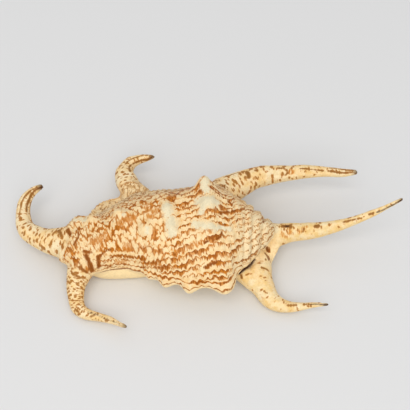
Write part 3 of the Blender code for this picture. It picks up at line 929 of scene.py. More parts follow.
@dataclass
class Growth:
    """Pattern coordinates and masks of each vertex, measured on the smooth shell.

    Attributes:
        points: The vertices.
        normals: Their normals.
        values: The coordinates and masks, by name.
    """

    points: np.ndarray
    normals: np.ndarray
    values: dict[str, np.ndarray] = field(default_factory=dict)

    def measure(self) -> "Growth":
        """Work out every coordinate and mask.

        Returns:
            The growth itself, with its values.
        """
        self._whorl()
        self._digits()
        self._aperture()
        self._regions()
        return self

    def _whorl(self) -> None:
        """Angle round the whorl, distance from the columella edge, and cord number."""
        v = self.values
        x, y, z = self.points.T
        size = WHORL.at(x)
        tall = size["crest_z"] - size["edge_z"]
        dy, dz = y - size["crest_y"], z - size["edge_z"]
        angle = np.degrees(np.arctan2(dz, dy))
        angle = np.where(angle < -90.0, angle + 360.0, angle)
        near = np.hypot(size["crest_y"] - size["edge_y"], tall) / math.sqrt(2.0)
        far = np.hypot(size["outer_y"] - size["crest_y"], tall) / math.sqrt(2.0)
        climb = near * np.radians(180.0 - np.maximum(angle, 90.0))
        climb += far * np.radians(90.0 - np.clip(angle, SLOPE_FOOT, 90.0))
        climb += np.maximum(y - size["outer_y"] - 1.0, 0.0)
        crowded = far * np.radians(60.0 - np.clip(angle, SLOPE_FOOT, 60.0))
        v["angle"] = angle
        v["radius"] = np.hypot(dy, dz)
        v["climb"] = climb
        v["rim"] = climb + RIM_DROP * sum(smoothstep(*end, x) for end in RIM_ENDS)
        v["growth"] = self._bands(x, climb) + 0.9 * crowded
        v["cord"] = (x - np.interp(angle, *zip(*SLANT))) * (
            1.0 + 0.010 * np.maximum(-x - 20.0, 0.0))

    @staticmethod
    def _bands(x: np.ndarray, climb: np.ndarray) -> np.ndarray:
        """Growth lines: level at the near rim, rising to the knobs, then down the spire.

        Args:
            x: Places along the shell.
            climb: Distances round the whorl from the near rim.

        Returns:
            A length that is the same all along a growth line.
        """
        rise = 0.38 * np.clip(x + 42.0, 0.0, 46.0) - 0.42 * np.clip(x - 4.0, 0.0, 22.0)
        return climb + 3.5 * (1.0 - np.exp(-np.maximum(climb, 0.0) / 10.0)) - rise

    def _digits(self) -> None:
        """Place of each vertex along and around the digit that it belongs to."""
        count = len(self.points)
        rows = np.arange(count)
        best = np.full(count, np.inf)
        for name in ("along", "around", "turned", "digit", "tip", "which"):
            self.values[name] = np.zeros(count)
        self.values["girth"] = np.ones(count)
        for index, form in enumerate(DIGITS):
            line = smooth_line(form.stations, 1.0)
            steps = np.arange(len(line))
            spine, radii = line[:, :3], line[:, 3]
            tangent = np.gradient(spine, axis=0)
            tangent /= np.linalg.norm(tangent, axis=1)[:, None]
            gap = self.points[:, None, :] - spine[None, :, :]
            distance = np.linalg.norm(gap, axis=2)
            nearest = distance.argmin(axis=1)
            place = nearest + (gap[rows, nearest] * tangent[nearest]).sum(1)
            centre, forward = (np.stack([np.interp(place, steps, column)
                                         for column in table.T], 1)
                               for table in (spine, tangent))
            radius = np.interp(place, steps, radii)
            off = self.points - centre
            along = np.clip(place, 0.0, steps[-1]) + (off * forward).sum(1)
            up = np.array([0.0, 0.0, 1.0]) - forward * forward[:, 2:3]
            up /= np.linalg.norm(up, axis=1)[:, None]
            side = np.cross(forward, up)
            turned = np.degrees(np.arctan2((off * side).sum(1), (off * up).sum(1)))
            ratio = distance[rows, nearest] / radius
            mine = ratio < best
            best = np.where(mine, ratio, best)
            found = {
                "along": along,
                "turned": turned,
                "around": np.radians(turned) * (1.5 + 0.75 * radius),
                "digit": smoothstep(6.0, 17.0, along) * (1.0 - smoothstep(1.5, 2.0, ratio)),
                "which": np.full(count, float(index)),
                "girth": radius,
                "tip": 0.8 * smoothstep(steps[-1] - 5.0, steps[-1], along) * (ratio < 2.0),
            }
            for name, value in found.items():
                self.values[name] = np.where(mine, value, self.values[name])

    def _aperture(self) -> None:
        """Distance from the slit of the aperture, and place along it."""
        line = smooth_line([(x, y, half) for x, y, half in APERTURE.line], 1.0)
        gap = self.points[:, None, :2] - line[None, :, :2]
        distance = np.linalg.norm(gap, axis=2)
        nearest = distance.argmin(axis=1)
        rows = np.arange(len(self.points))
        self.values["slit"] = distance[rows, nearest] - line[nearest, 2]
        self.values["slit_along"] = nearest.astype(float)

    def _regions(self) -> None:
        """Masks of the callus, the throat and the spire."""
        v = self.values
        x, _, z = self.points.T
        size = WHORL.at(x)
        body = 1.0 - v["digit"]
        deep = np.hypot(size["outer_y"] - size["crest_y"], size["crest_z"] - size["edge_z"])
        under = smoothstep(0.05, 0.45, -self.normals[:, 2])
        wall = body * smoothstep(1.2, -0.4, z - size["edge_z"]) * smoothstep(
            150.0, 176.0, v["angle"])
        roof = smoothstep(10.0, 7.0, v["slit"]) * (1.0 - under) * (v["radius"] < 0.5 * deep)
        inside = np.maximum(smoothstep(2.5, 0.5, v["slit"]), roof)
        inside *= z < 0.5 * size["crest_z"]
        smooth = np.maximum(under * (1.0 - 0.35 * v["digit"]), wall)
        v["callus"] = np.maximum(np.clip(smooth, 0.0, 1.0), inside)
        hollow = smoothstep(3.0, -1.0, v["slit"]) * (v["radius"] < 0.86 * deep)
        blush = under * (hollow + bump(v["slit"], 5.0))
        v["throat"] = np.maximum(np.clip(blush, 0.0, 1.0), inside)
        v["spire"] = body * (z > 12.0) * smoothstep(
            13.0, 27.0, x + 0.12 * (v["angle"] - 120.0))
        v["slope"] = body * smoothstep(62.0, 30.0, v["angle"])
        gap = self.points[:, None, :] - smooth_line(CREVICE, 0.8)[None, :, :]
        v["crevice"] = np.linalg.norm(gap, axis=2).min(axis=1)

    def paint(self, knob: np.ndarray, carved: np.ndarray) -> None:
        """Say where the snail laid down more or less pigment, and which, and where shade is
        painted in the gaps and creases.

        Args:
            knob: 1 on the tops of the knobs, 0 off them.
            carved: The vertices with their relief.
        """
        v = self.values
        x = self.points[:, 0]
        body = 1.0 - v["digit"]
        right = smoothstep(4.0, 22.0, x) * body
        v["wild"] = smoothstep(-6.0, -30.0, x) * body * smoothstep(7.0, 16.0, v["climb"])
        v["chalky"] = np.clip(0.12 * right + 0.2 * v["spire"], 0.0, 1.0)
        v["grey"] = np.clip(0.8 * v["slope"] + 0.6 * v["spire"], 0.0, 1.0)
        v["lined"] = np.clip(right + v["slope"] - 0.2 * v["spire"], 0.0, 1.0)
        parts = {
            "middle": smoothstep(-36.0, -22.0, x) * smoothstep(14.0, 2.0, x) * body,
            "wild": v["wild"],
            "knob": knob,
            "right": right,
            "spire": v["spire"],
            "slope": v["slope"],
            "corner": bump(np.linalg.norm(carved - np.array(CORNER), axis=1), 7.5),
            "spike": bump(np.linalg.norm(carved - np.array(SPIKE), axis=1), 8.0),
        }
        dose = PLAIN_DOSE + sum(DOSES[name] * part for name, part in parts.items())
        spots, grain, honey = np.zeros(len(x)), np.ones(len(x)), np.zeros(len(x))
        for index, form in enumerate(DIGITS):
            mine = v["which"] == index
            spots = np.where(mine, np.interp(v["along"], *zip(*form.spots)), spots)
            grain = np.where(mine, form.grain, grain)
            honey = np.where(mine, form.honey, honey)
        v["honey"] = honey * v["digit"]
        v["dose"] = dose * body + spots * v["digit"]
        v["along"] *= grain
        v["around"] *= grain
        for tint in Tint:
            v[tint.value] = np.zeros(len(x))
        for mark in MARKS:
            name = mark.tint.value
            v[name] = np.maximum(v[name], mark.shade(carved))
        # Dark digit tips and dark marks, with the painted shade in the gaps and creases
        v["stain_and_shade"] = np.clip(v["tip"] + smoothstep(0.3, 0.8, v["stain_and_shade"])
                            + 0.3 * smoothstep(0.6, 1.0, v["stroke"]), 0.0, 1.0)


@dataclass
class Carver:
    """Moves the vertices of the fused skin to carve the shell's relief.

    Attributes:
        growth: The growth coordinates that the relief follows.
        cord_height: Height of the spiral cords.
        fine_cord_height: Height of the finer cords between them.
        fold_height: Height of the growth folds.
        plait: Height of the even folds near the spire, in heights of the others.
        unevenness: Height of the shallow lumps all over the shell.
        slope_dip: How much flatter the far slope is.
        slit_depth: Depth of the slit that runs along a digit.
        slit_width: Half width of that slit.
        rib_height: Height of the ribs inside the lips.
        knob: 1 on the tops of the knobs, 0 off them, once the shell is carved.
    """

    growth: Growth
    cord_height: float = 0.24
    fine_cord_height: float = 0.10
    fold_height: float = 0.42
    plait: float = 0.42
    unevenness: float = 0.35
    slope_dip: float = 1.3
    slit_depth: float = 0.55
    slit_width: float = 0.75
    rib_height: float = 0.32
    knob: np.ndarray = field(init=False)

    def __post_init__(self) -> None:
        """Start with no knobs."""
        self.knob = np.zeros(len(self.growth.points))

    def carve(self) -> np.ndarray:
        """Add every relief to the smooth shell.

        Returns:
            The carved points.
        """
        lift = (self._ridges() + self._cords() + self._folds() + self._sutures()
                + self._slits() + self._ribs() + self._lumps())
        lift -= CREVICE_DEPTH * bump(self.growth.values["crevice"], CREVICE_WIDTH)
        self.knob = np.clip(self.knob, 0.0, 1.0)
        points = self.growth.points + self.growth.normals * lift[:, None]
        points[:, 2] = np.maximum(points[:, 2], 0.02)
        return points

    def _ridges(self) -> np.ndarray:
        """Raise the spiral ridges and their knobs.

        Returns:
            The height of the relief.
        """
        g = self.growth.values
        x = self.growth.points[:, 0]
        angle = g["angle"]
        back = (1.0 - g["digit"]) * smoothstep(-12.0, 12.0, angle) * (
            1.0 - smoothstep(196.0, 212.0, angle))
        arc = np.radians(1.0) * np.maximum(g["radius"], 8.0)
        lift = np.zeros(len(x))
        for ridge in RIDGES:
            off = x - np.interp(angle, *zip(*sorted(ridge.path)))
            height = np.interp(angle, *zip(*sorted(ridge.heights)))
            lift += height * bump(off, ridge.width)
            for at, rise, length in ridge.knobs:
                hill = bump(np.hypot(off / ridge.width, (angle - at) * arc / length), 1.0)
                lift += rise * hill
                if at < COLUMELLA_KNOBS:
                    self.knob = np.maximum(self.knob, hill * min(1.3, 0.35 * rise))
        return lift * back

    def _lumps(self) -> np.ndarray:
        """Swell and hollow the wall, and flatten the far slope.

        Returns:
            The height of the relief.
        """
        points = self.growth.points
        lift = np.zeros(len(points))
        for place, width, height in LUMPS:
            lift += height * bump(np.linalg.norm(points - np.array(place), axis=1), width)
        flat = bump(self.growth.values["angle"] - 42.0, 24.0) * bump(points[:, 0] + 24.0, 16.0)
        return lift - self.slope_dip * flat

    def _cords(self) -> np.ndarray:
        """Raise low spiral cords, one every few millimetres.

        Returns:
            The height of the relief.
        """
        g = self.growth.values
        wobble = 0.5 * rough(self.growth.points, 14.0, 3.0)
        wave = np.cos(math.tau * (g["cord"] / CORDS + wobble))
        finer = np.cos(math.tau * (g["cord"] / FINE_CORDS + wobble))
        worn = np.clip(self.knob, 0.0, 1.0)
        cover = ((1.0 - g["digit"]) * (1.0 - g["callus"]) * (1.0 - 0.7 * worn)
                 * (1.0 - 0.75 * g["spire"]))
        return cover * (self.cord_height * wave + self.fine_cord_height * finer)

    def _folds(self) -> np.ndarray:
        """Fold the shell along its growth lines, and make it uneven as nature does.

        Returns:
            The height of the relief.
        """
        g = self.growth.values
        points = self.growth.points
        along = np.stack([points[:, 0] / 2.5, g["growth"], 0.0 * g["growth"]], 1)
        folds = rough(along, 5.0, 11.0)
        lumps = rough(points, 9.0, 5.0)
        cover = (1.0 - g["callus"]) * (1.0 - 0.6 * g["digit"])
        plait = np.cos(math.tau * (g["growth"] / FOLDS + 0.9 * lumps))
        plait *= smoothstep(-0.3, 0.5, rough(points, 6.0, 31.0))
        right = smoothstep(4.0, 14.0, points[:, 0]) * (1.0 - g["digit"])
        folds += self.plait * plait * right
        lumps = (1.0 - 0.6 * g["callus"]) * self.unevenness * lumps
        return cover * self.fold_height * folds + lumps

    def _sutures(self) -> np.ndarray:
        """Sink the seam that winds down the spire.

        Returns:
            The height of the relief.
        """
        g = self.growth.values
        x, _, z = self.growth.points.T
        wound = x + 6.0 * (g["angle"] + 90.0) / 360.0 + 0.8 * rough(
            self.growth.points, 8.0, 17.0)
        lift = np.zeros(len(x))
        for seam, depth, width in SEAMS:
            off = wound - seam
            lift += depth * (0.5 * bump(off - 2.4, 1.6) - bump(off, width))
        return lift * (z > 13.0) * (1.0 - g["digit"]) * smoothstep(8.0, 14.0, x)

    def _slits(self) -> np.ndarray:
        """Sink the closed slit that runs along each digit.

        Returns:
            The height of the relief.
        """
        g = self.growth.values
        lift = np.zeros(len(self.growth.points))
        for index, form in enumerate(DIGITS):
            off = (g["turned"] - form.slit + 180.0) % 360.0 - 180.0
            line = bump(np.radians(off) * g["girth"], self.slit_width)
            reach = smoothstep(14.0, 30.0, g["along"])
            lift -= self.slit_depth * line * reach * (g["which"] == index) * g["digit"]
        return lift

    def _ribs(self) -> np.ndarray:
        """Raise fine ribs on the lips beside the aperture.

        Returns:
            The height of the relief.
        """
        g = self.growth.values
        wobble = 0.25 * rough(self.growth.points, 7.0, 21.0)
        rib = np.cos(math.tau * (g["slit_along"] / RIBS + wobble))
        near = smoothstep(17.0, 5.0, g["slit"]) * smoothstep(-5.0, 1.0, g["slit"])
        cover = near * g["callus"] * smoothstep(1.2, 2.4, self.growth.points[:, 2])
        return self.rib_height * rib * cover


# ---- the shell --------------------------------------------------------------------------

@dataclass
class ConchShell:
    """The whole shell as one carved mesh.

    Attributes:
        rough_voxel: Voxel of the first fusing, before the aperture is cut.
        fine_voxel: Voxel of the final skin.
        rough_rounds: Rounds of smoothing after the first fusing.
        fine_rounds: Rounds of smoothing of the final skin.
        shift: From the shell's own place to its place in the frame, in metres.
    """

    rough_voxel: float = 1.0
    fine_voxel: float = 0.78
    rough_rounds: int = 2
    fine_rounds: int = 5
    shift: np.ndarray = field(default_factory=lambda: np.zeros(3))

    def build(self) -> bpy.types.Object:
        """Model, fuse, hollow and carve the shell.

        Returns:
            The finished object, in metres, in the frame's place.
        """
        former = Former()
        forms = [former.whorl(WHORL), former.lip(LIP)]
        forms += [former.tube(form) for form in (CALLUS, CANAL_WEB) + DIGITS]
        log.info("forms: %s", ", ".join(form.name for form in forms))
        shell = former.fuse(forms, self.rough_voxel, self.rough_rounds)
        hollow = smooth_line(APERTURE.hollow, 3.0)
        former.carve(shell, former.sweep("hollow", hollow, APERTURE.hollow_sides))
        former.carve(shell, former.slit(APERTURE))
        former.remesh(shell, self.fine_voxel, self.fine_rounds)
        shell.name = "spider_conch_shell"
        growth = Growth(read_points(shell), read_normals(shell)).measure()
        carver = Carver(growth)
        carved = carver.carve()
        write_points(shell, carved)
        growth.paint(carver.knob, carved)
        self._keep_values(shell, growth)
        self._place(shell)
        log.info("shell: %d faces", len(shell.data.polygons))
        return shell

    @staticmethod
    def _keep_values(shell: bpy.types.Object, growth: Growth) -> None:
        """Store the growth coordinates as attributes of the mesh.

        Args:
            shell: The shell.
            growth: Its growth coordinates and paint.
        """
        for name in KEPT:
            attribute = shell.data.attributes.new(name, 'FLOAT', 'POINT')
            attribute.data.foreach_set("value", growth.values[name].astype(np.float32))

    def _place(self, shell: bpy.types.Object) -> None:
        """Scale the shell to metres and move it over the CAD shell.

        Args:
            shell: The shell, in millimetres.
        """
        points = read_points(shell) * MM
        low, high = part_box("shell")
        self.shift = 0.5 * (np.array(low) + np.array(high)) - 0.5 * (
            points.min(0) + points.max(0))
        self.shift[2] = low.z
        write_points(shell, points + self.shift)
        shell.data.shade_smooth()


# ---- materials --------------------------------------------------------------------------

# Sockets of a Mix node: its factor, its two numbers, its two colours and its colour output
FACTOR, LOW, HIGH, UNDER, OVER, COLOUR = 0, 2, 3, 6, 7, 2


class Weave:
    """Builds a node tree, with one way to add any node."""

    def __init__(self, name: str) -> None:
        """Start a material with only its surface and its output.

        Args:
            name: The material's name.
        """
        self.material = bpy.data.materials.new(name)
        self.material.use_nodes = True
        self.tree = self.material.node_tree
        self.surface = self.tree.nodes["Principled BSDF"]

    def add(self, kind: str, *values: Any, out: int | str = 0,
            ports: dict[Any, Any] | None = None, **settings: Any) -> bpy.types.NodeSocket:
        """Add a node and return one of its outputs.

        Args:
            kind: The node's type name, without its ShaderNode prefix.
            *values: Numbers, vectors or sockets for the first inputs, in their order.
            out: The output to return.
            ports: More inputs by name or number.
            **settings: Properties of the node.

        Returns:
            The output socket.
        """
        node = self.tree.nodes.new("ShaderNode" + kind)
        for name, value in settings.items():
            setattr(node, name, value)
        given = dict(enumerate(values))
        given.update(ports or {})
        for port, value in given.items():
            if isinstance(value, bpy.types.NodeSocket):
                self.tree.links.new(value, node.inputs[port])
            elif value is not None:
                node.inputs[port].default_value = value
        return node.outputs[out]

    def dress(self, **values: Any) -> bpy.types.Material:
        """Set or link inputs of the surface.

        Args:
            **values: Values or sockets, by input name with _ for a space.

        Returns:
            The material.
        """
        for name, value in values.items():
            port = self.surface.inputs[name.replace("_", " ")]
            if isinstance(value, bpy.types.NodeSocket):
                self.tree.links.new(value, port)
            else:
                port.default_value = value
        return self.material


@dataclass(frozen=True)
class PlainFloor:
    """Matt painted board: even and pale, with no gloss.

    Attributes:
        colour: Its colour.
        roughness: How matt it is.
    """

    colour: str = "#dcdcdb"
    roughness: float = 0.9

    def make(self) -> bpy.types.Material:
        """Make the material."""
        weave = Weave("matt_painted_board")
        return weave.dress(Base_Color=srgb(self.colour), Roughness=self.roughness,
                           Specular_IOR_Level=0.1)


class ShellWeave(Weave):
    """The nodes of the shell's material, with the values that its patterns are made of."""

    def __init__(self, name: str, finish: "GrownShell") -> None:
        """Read the mesh's attributes and make the noises.

        Args:
            name: The material's name.
            finish: The finish, which says how fine the noises are.
        """
        super().__init__(name)
        self.kept = {key: self.add("Attribute", attribute_name=key, out="Fac") for key in KEPT}
        place = self.add("VectorMath", self.add("TexCoord", out="Object"),
                         ports={"Scale": 1 / MM}, operation='SCALE')
        self.broad, self.small, self.flecks = (
            self.add("TexNoise", place, ports={"Scale": scale, "Detail": detail})
            for scale, detail in ((finish.clouds, 2.0), (finish.patches, 2.0),
                                  (finish.flecks, 3.0)))
        self.streak = self.add("TexNoise", self.cells(
            self.kept["cord"], self.kept["growth"], finish.streaks),
            ports={"Scale": 1.0, "Detail": 1.5})

    def cells(self, across: Any, along: Any, rates: tuple[float, float],
              layer: Any = 0.0) -> Any:
        """Make coordinates in which a cell of a pattern is one unit wide and long.

        Args:
            across: Distance across the cells, in millimetres.
            along: Distance along the cells, in millimetres.
            rates: How many cells there are in a millimetre, across and along.
            layer: Which of many like patterns to read.

        Returns:
            The coordinates.
        """
        first, second = (self.add("Math", distance, rate, operation='MULTIPLY')
                         for distance, rate in zip((across, along), rates))
        return self.add("CombineXYZ", first, second, layer)

    def sway(self, base: Any, wave: Any, reach: Any) -> Any:
        """Push a value to and fro with a noise.

        Args:
            base: The value.
            wave: The noise, from 0 to 1 and around a half.
            reach: How far apart the noise's ends push the value.

        Returns:
            The pushed value.
        """
        centred = self.add("Math", wave, -0.5, operation='ADD')
        return self.add("Math", centred, reach, base, operation='MULTIPLY_ADD')


@dataclass(frozen=True)
class GrownShell:
    """Aragonite laid down by the snail in growth lines: satin, cream, banded brown.

    Each band is one stop in growth. The mantle's edge put the pigment down in short
    spiral streaks, so a band is a row of streaks, broken, with saw-toothed edges. The
    callus was laid over it as enamel, which is smoother, glossier and plain.

    Attributes:
        cream: The ground colour.
        peach: Warmer patches of the ground.
        pearl: Milky patches, on the digits and where the shell is old.
        honey: Golden patches.
        chalk: Where the shell is worn.
        enamel: The callus.
        rose: The throat.
        orange: Light pigment on the back.
        sand: Light pigment on the slope.
        brown: Dark pigment on the back.
        taupe: Dark pigment on the slope.
        ochre: Dark pigment on the digits.
        umber: The darkest stains, such as the dark digit tips, and the painted shade in the gaps
            and creases.
        clouds: Cells in a millimetre of the broadest noise.
        patches: Cells in a millimetre of the noise of patches and ragged edges.
        flecks: Cells in a millimetre of the finest noise.
        streaks: Cells in a millimetre of the streaks, across and along.
        pieces: Pieces of a band in a millimetre, and how far apart rows are in the noise.
        islands: Islands in a millimetre, across and along, where the bands run wild.
        spots: Spots of the digits in a millimetre, along and around.
        period: From one band to the next, in millimetres.
        hair: From one fine line to the next, in millimetres.
        thread: From one spiral thread to the next, in millimetres.
    """

    cream: str = "#f6daa8"
    peach: str = "#efc585"
    pearl: str = "#f4e4be"
    honey: str = "#e9c478"
    chalk: str = "#e8dab6"
    enamel: str = "#fbe0aa"
    rose: str = "#dd8f62"
    orange: str = "#cc7a16"
    sand: str = "#cc9c60"
    brown: str = "#9c5407"
    taupe: str = "#94683a"
    ochre: str = "#a57030"
    umber: str = "#44220a"
    clouds: float = 0.085
    patches: float = 0.31
    flecks: float = 1.1
    streaks: tuple[float, float] = (1.3, 0.3)
    pieces: tuple[float, float] = (0.095, 3.71)
    islands: tuple[float, float] = (0.27, 0.36)
    spots: tuple[float, float] = (0.38, 0.2)
    period: float = 4.2
    hair: float = 2.5
    thread: float = 1.0

    def make(self) -> bpy.types.Material:
        """Make the material.

        Returns:
            The shell's material.
        """
        w = ShellWeave("grown_aragonite", self)
        pigment, deep = self._body(w)
        spotted = self._spots(w)
        soaked = w.add("MapRange", spotted, 0.45, 1.0, 0.0, 1.0)
        on_digit = w.add("MapRange", w.sway(w.kept["digit"], w.small, -0.5), 0.15, 0.5,
                         0.0, 1.0, interpolation_type='SMOOTHSTEP')
        bare = w.add("Math", 1.0, w.kept["callus"], operation='SUBTRACT')
        pigment, deep = (
            w.add("Math", w.add("Mix", ports={FACTOR: on_digit, LOW: back, HIGH: digit}), bare,
                  operation='MULTIPLY')
            for back, digit in ((pigment, spotted), (deep, soaked)))
        pigment, deep, pale = self._marks(w, pigment, deep)
        gloss = w.add("MapRange", w.kept["callus"], 0.0, 1.0, 0.52, 0.3)
        return w.dress(Base_Color=self._colours(w, pigment, deep, pale), Roughness=gloss,
                       Normal=self._relief(w, pigment), Specular_IOR_Level=0.2)

    def _body(self, w: ShellWeave) -> tuple[Any, Any]:
        """Lay bands of streaks along the growth lines of the whorl.

        Args:
            w: The material's nodes.

        Returns:
            Where pigment is, and where it is dark.
        """
        v = w.kept
        turn = w.add("Math", v["cord"], math.pi / CORDS, operation='MULTIPLY')
        scallop = w.add("Math", w.add("Math", turn, operation='SINE'), operation='ABSOLUTE')
        bent = v["growth"]
        for wave, calm, wild in ((w.broad, 5.0, 7.0), (w.small, 3.5, 4.5)):
            bent = w.sway(bent, wave, w.add("MapRange", v["wild"], 0.0, 1.0, calm, wild))
        bent = w.add("Math", scallop, -1.2, bent, operation='MULTIPLY_ADD')
        bent = w.sway(bent, w.streak, 1.2)
        amount, pieces = self._bands(w, bent)
        netted = w.add("Math", v["wild"], 0.75, operation='MULTIPLY')
        amount = w.add("Mix", ports={FACTOR: netted, LOW: amount, HIGH: self._net(w, bent)})
        amount = w.add("Math", amount, v["dose"], operation='ADD')
        amount = w.add("Math", amount, self._hairs(w, bent), operation='MAXIMUM')
        edge = w.add("Math", scallop, -0.6, w.sway(v["rim"], w.small, 2.6),
                     operation='MULTIPLY_ADD')
        inland = w.add("MapRange", edge, 3.8, 5.6, 0.0, 1.0)
        rim = self._rim(w, edge, pieces)
        amount = w.add("Mix", ports={FACTOR: inland, LOW: rim, HIGH: amount})
        wide = w.add("MapRange", amount, 0.44, 0.72, 0.0, 1.0, interpolation_type='SMOOTHSTEP')
        deep = w.add("MapRange", w.sway(amount, w.streak, 1.8), 0.62, 1.15, 0.0, 1.0,
                     interpolation_type='SMOOTHSTEP')
        return wide, deep

    def _bands(self, w: ShellWeave, bent: Any) -> tuple[Any, Any]:
        """Repeat the band at each stop in growth, and break it into pieces.

        Args:
            w: The material's nodes.
            bent: Distance across the bands, bent as the growth lines are.

        Returns:
            How much pigment there is, and the noise that breaks the bands.
        """
        phase = w.add("Math", bent, self.period, operation='DIVIDE')
        row = w.add("Math", phase, operation='FLOOR')
        band = w.add("Math", phase, operation='FRACT')
        # Rows are read far apart in the noise, so that no two break alike
        pieces = w.add("TexNoise", w.cells(w.kept["cord"], row, self.pieces, 2.3),
                       ports={"Scale": 1.0, "Detail": 1.5})
        return w.sway(w.sway(band, pieces, 2.3), w.streak, 0.85), pieces

    def _net(self, w: ShellWeave, bent: Any) -> Any:
        """Make a net of pigment round pale islands, for where the bands run wild.

        Args:
            w: The material's nodes.
            bent: Distance across the bands.

        Returns:
            How much pigment there is.
        """
        cells = w.cells(w.kept["cord"], bent, self.islands)
        islands = w.add("TexVoronoi", cells, ports={"Scale": 1.0}, voronoi_dimensions='2D')
        net = w.add("MapRange", islands, 0.16, 0.63, 0.0, 1.0)
        return w.sway(w.sway(net, w.small, 0.55), w.broad, 0.6)

    def _hairs(self, w: ShellWeave, bent: Any) -> Any:
        """Draw fine broken growth lines on the slope and at the spire's end.

        Args:
            w: The material's nodes.
            bent: Distance across the bands.

        Returns:
            How much pigment there is.
        """
        turn = w.add("Math", bent, math.tau / self.hair, operation='MULTIPLY')
        line = w.sway(w.add("Math", turn, operation='COSINE'), w.small, 4.0)
        return w.add("Math", w.add("MapRange", line, 0.6, 1.2, 0.0, 0.8), w.kept["lined"],
                     operation='MULTIPLY')

    @staticmethod
    def _rim(w: ShellWeave, edge: Any, pieces: Any) -> Any:
        """Draw a line at the near rim of the whorl, and a broken one inside it.

        Args:
            w: The material's nodes.
            edge: Distance from the rim.
            pieces: The noise that breaks the second line.

        Returns:
            How much pigment there is.
        """
        lines = []
        for middle, full, gone, strength in ((0.4, 0.1, 0.65, 1.1), (3.2, 0.2, 1.0, 0.9)):
            gap = w.add("Math", edge, -middle, operation='ADD')
            gap = w.add("Math", gap, operation='ABSOLUTE')
            lines.append(w.add("MapRange", gap, full, gone, strength, 0.0))
        return w.add("Math", lines[0], w.sway(lines[1], pieces, 2.0), operation='MAXIMUM')

    def _spots(self, w: ShellWeave) -> Any:
        """Spot the digits, in rows across each of them.

        Args:
            w: The material's nodes.

        Returns:
            How dark the spots are.
        """
        v = w.kept
        cells = w.cells(v["along"], v["around"], self.spots, v["which"])
        spot = w.add("TexNoise", cells, ports={"Scale": 1.0, "Detail": 2.0, "Roughness": 0.6})
        dash = w.add("TexVoronoi", cells, ports={"Scale": 1.0}, voronoi_dimensions='2D')
        amount = w.add("Math", w.add("MapRange", dash, 0.12, 0.5, 0.14, -0.08), spot,
                       operation='ADD')
        amount = w.add("Math", amount, v["dose"], operation='ADD')
        return w.add("MapRange", amount, 0.54, 0.7, 0.0, 0.92,
                     interpolation_type='SMOOTHSTEP')

    @staticmethod
    def _marks(w: ShellWeave, pigment: Any, deep: Any) -> tuple[Any, Any, Any]:
        """Add the placed stains and the painted shade in the gaps, and take the pigment off the
        worn knobs.

        Args:
            w: The material's nodes.
            pigment: Where pigment is.
            deep: Where it is dark.

        Returns:
            The new pigment and dark pigment, and where the shell is worn.
        """
        v = w.kept
        ragged = w.add("Math", w.small, w.streak, operation='ADD')
        ragged = w.add("Math", ragged, -1.0, operation='ADD')
        amber, pale, stroke = (
            w.add("MapRange", w.add("Math", ragged, reach, mark, operation='MULTIPLY_ADD'),
                  low, high, 0.0, 1.0)
            for mark, reach, low, high in ((v["amber"], 2.6, 0.35, 0.8),
                                           (v["pale"], 1.0, 0.33, 0.68),
                                           (v["stroke"], 1.0, 0.4, 0.75)))
        near_amber = w.add("MapRange", v["amber"], 0.05, 0.3, 0.0, 1.0)
        streaky = w.add("MapRange", w.streak, 0.38, 0.56, 0.45, 1.0)
        near_stroke = w.add("MapRange", v["stroke"], 0.1, 0.3, 0.0, 1.0)
        amber = w.add("Math", w.add("Math", amber, near_amber, operation='MULTIPLY'), streaky,
                      operation='MULTIPLY')
        stroke = w.add("Math", stroke, near_stroke, operation='MULTIPLY')
        pigment = w.add("Math", pigment, amber, operation='MAXIMUM')
        lighter = w.add("Math", amber, -0.5, 1.0, operation='MULTIPLY_ADD')
        deep = w.add("Math", deep, lighter, operation='MULTIPLY')
        left = w.add("Math", 1.0, pale, operation='SUBTRACT')
        for other, step in ((left, 'MULTIPLY'), (stroke, 'MAXIMUM')):
            pigment, deep = (w.add("Math", amount, other, operation=step)
                             for amount in (pigment, deep))
        return pigment, deep, pale

    def _colours(self, w: ShellWeave, pigment: Any, deep: Any, pale: Any) -> Any:
        """Lay the pigment over the ground colours.

        Args:
            w: The material's nodes.
            pigment: Where pigment is.
            deep: Where it is dark.
            pale: Where the shell is worn.

        Returns:
            The colour of the shell.
        """
        v = w.kept
        warm = w.add("MapRange", w.small, 0.4, 0.72, 0.0, 0.9)
        old = w.add("Math", v["grey"], 0.7, v["digit"], operation='MULTIPLY_ADD')
        milky = w.add("Math", w.add("MapRange", w.broad, 0.44, 0.6, 0.0, 0.8), old,
                      operation='MULTIPLY')
        golden = w.add("Math", w.add("MapRange", w.small, 0.38, 0.66, 0.25, 1.0), v["honey"],
                       operation='MULTIPLY')
        white = w.add("Math", v["chalky"], pale, operation='MAXIMUM')
        light = w.add("Math", pigment, w.add("MapRange", w.broad, 0.35, 0.62, 0.78, 1.0),
                      operation='MULTIPLY')
        enamel = w.add("Mix", ports={FACTOR: v["throat"], UNDER: srgb(self.enamel),
                                     OVER: srgb(self.rose)}, data_type='RGBA', out=COLOUR)
        fill = w.add("Mix", ports={FACTOR: v["grey"], UNDER: srgb(self.orange),
                                   OVER: srgb(self.sand)}, data_type='RGBA', out=COLOUR)
        dark = srgb(self.brown)
        for cover, tint in ((v["grey"], self.taupe), (v["digit"], self.ochre)):
            dark = w.add("Mix", ports={FACTOR: cover, UNDER: dark, OVER: srgb(tint)},
                         data_type='RGBA', out=COLOUR)
        # The last layer darkens the digit tips and paints the shade in the gaps and creases
        colour = srgb(self.cream)
        for cover, tint in ((warm, srgb(self.peach)), (milky, srgb(self.pearl)),
                            (golden, srgb(self.honey)), (white, srgb(self.chalk)),
                            (v["callus"], enamel), (light, fill), (deep, dark),
                            (v["stain_and_shade"], srgb(self.umber))):
            colour = w.add("Mix", ports={FACTOR: cover, UNDER: colour, OVER: tint},
                           data_type='RGBA', out=COLOUR)
        speck = w.add("MapRange", w.flecks, 0.3, 0.7, 0.9, 1.06)
        return w.add("VectorMath", colour, w.add("CombineXYZ", speck, speck, speck),
                     operation='MULTIPLY')

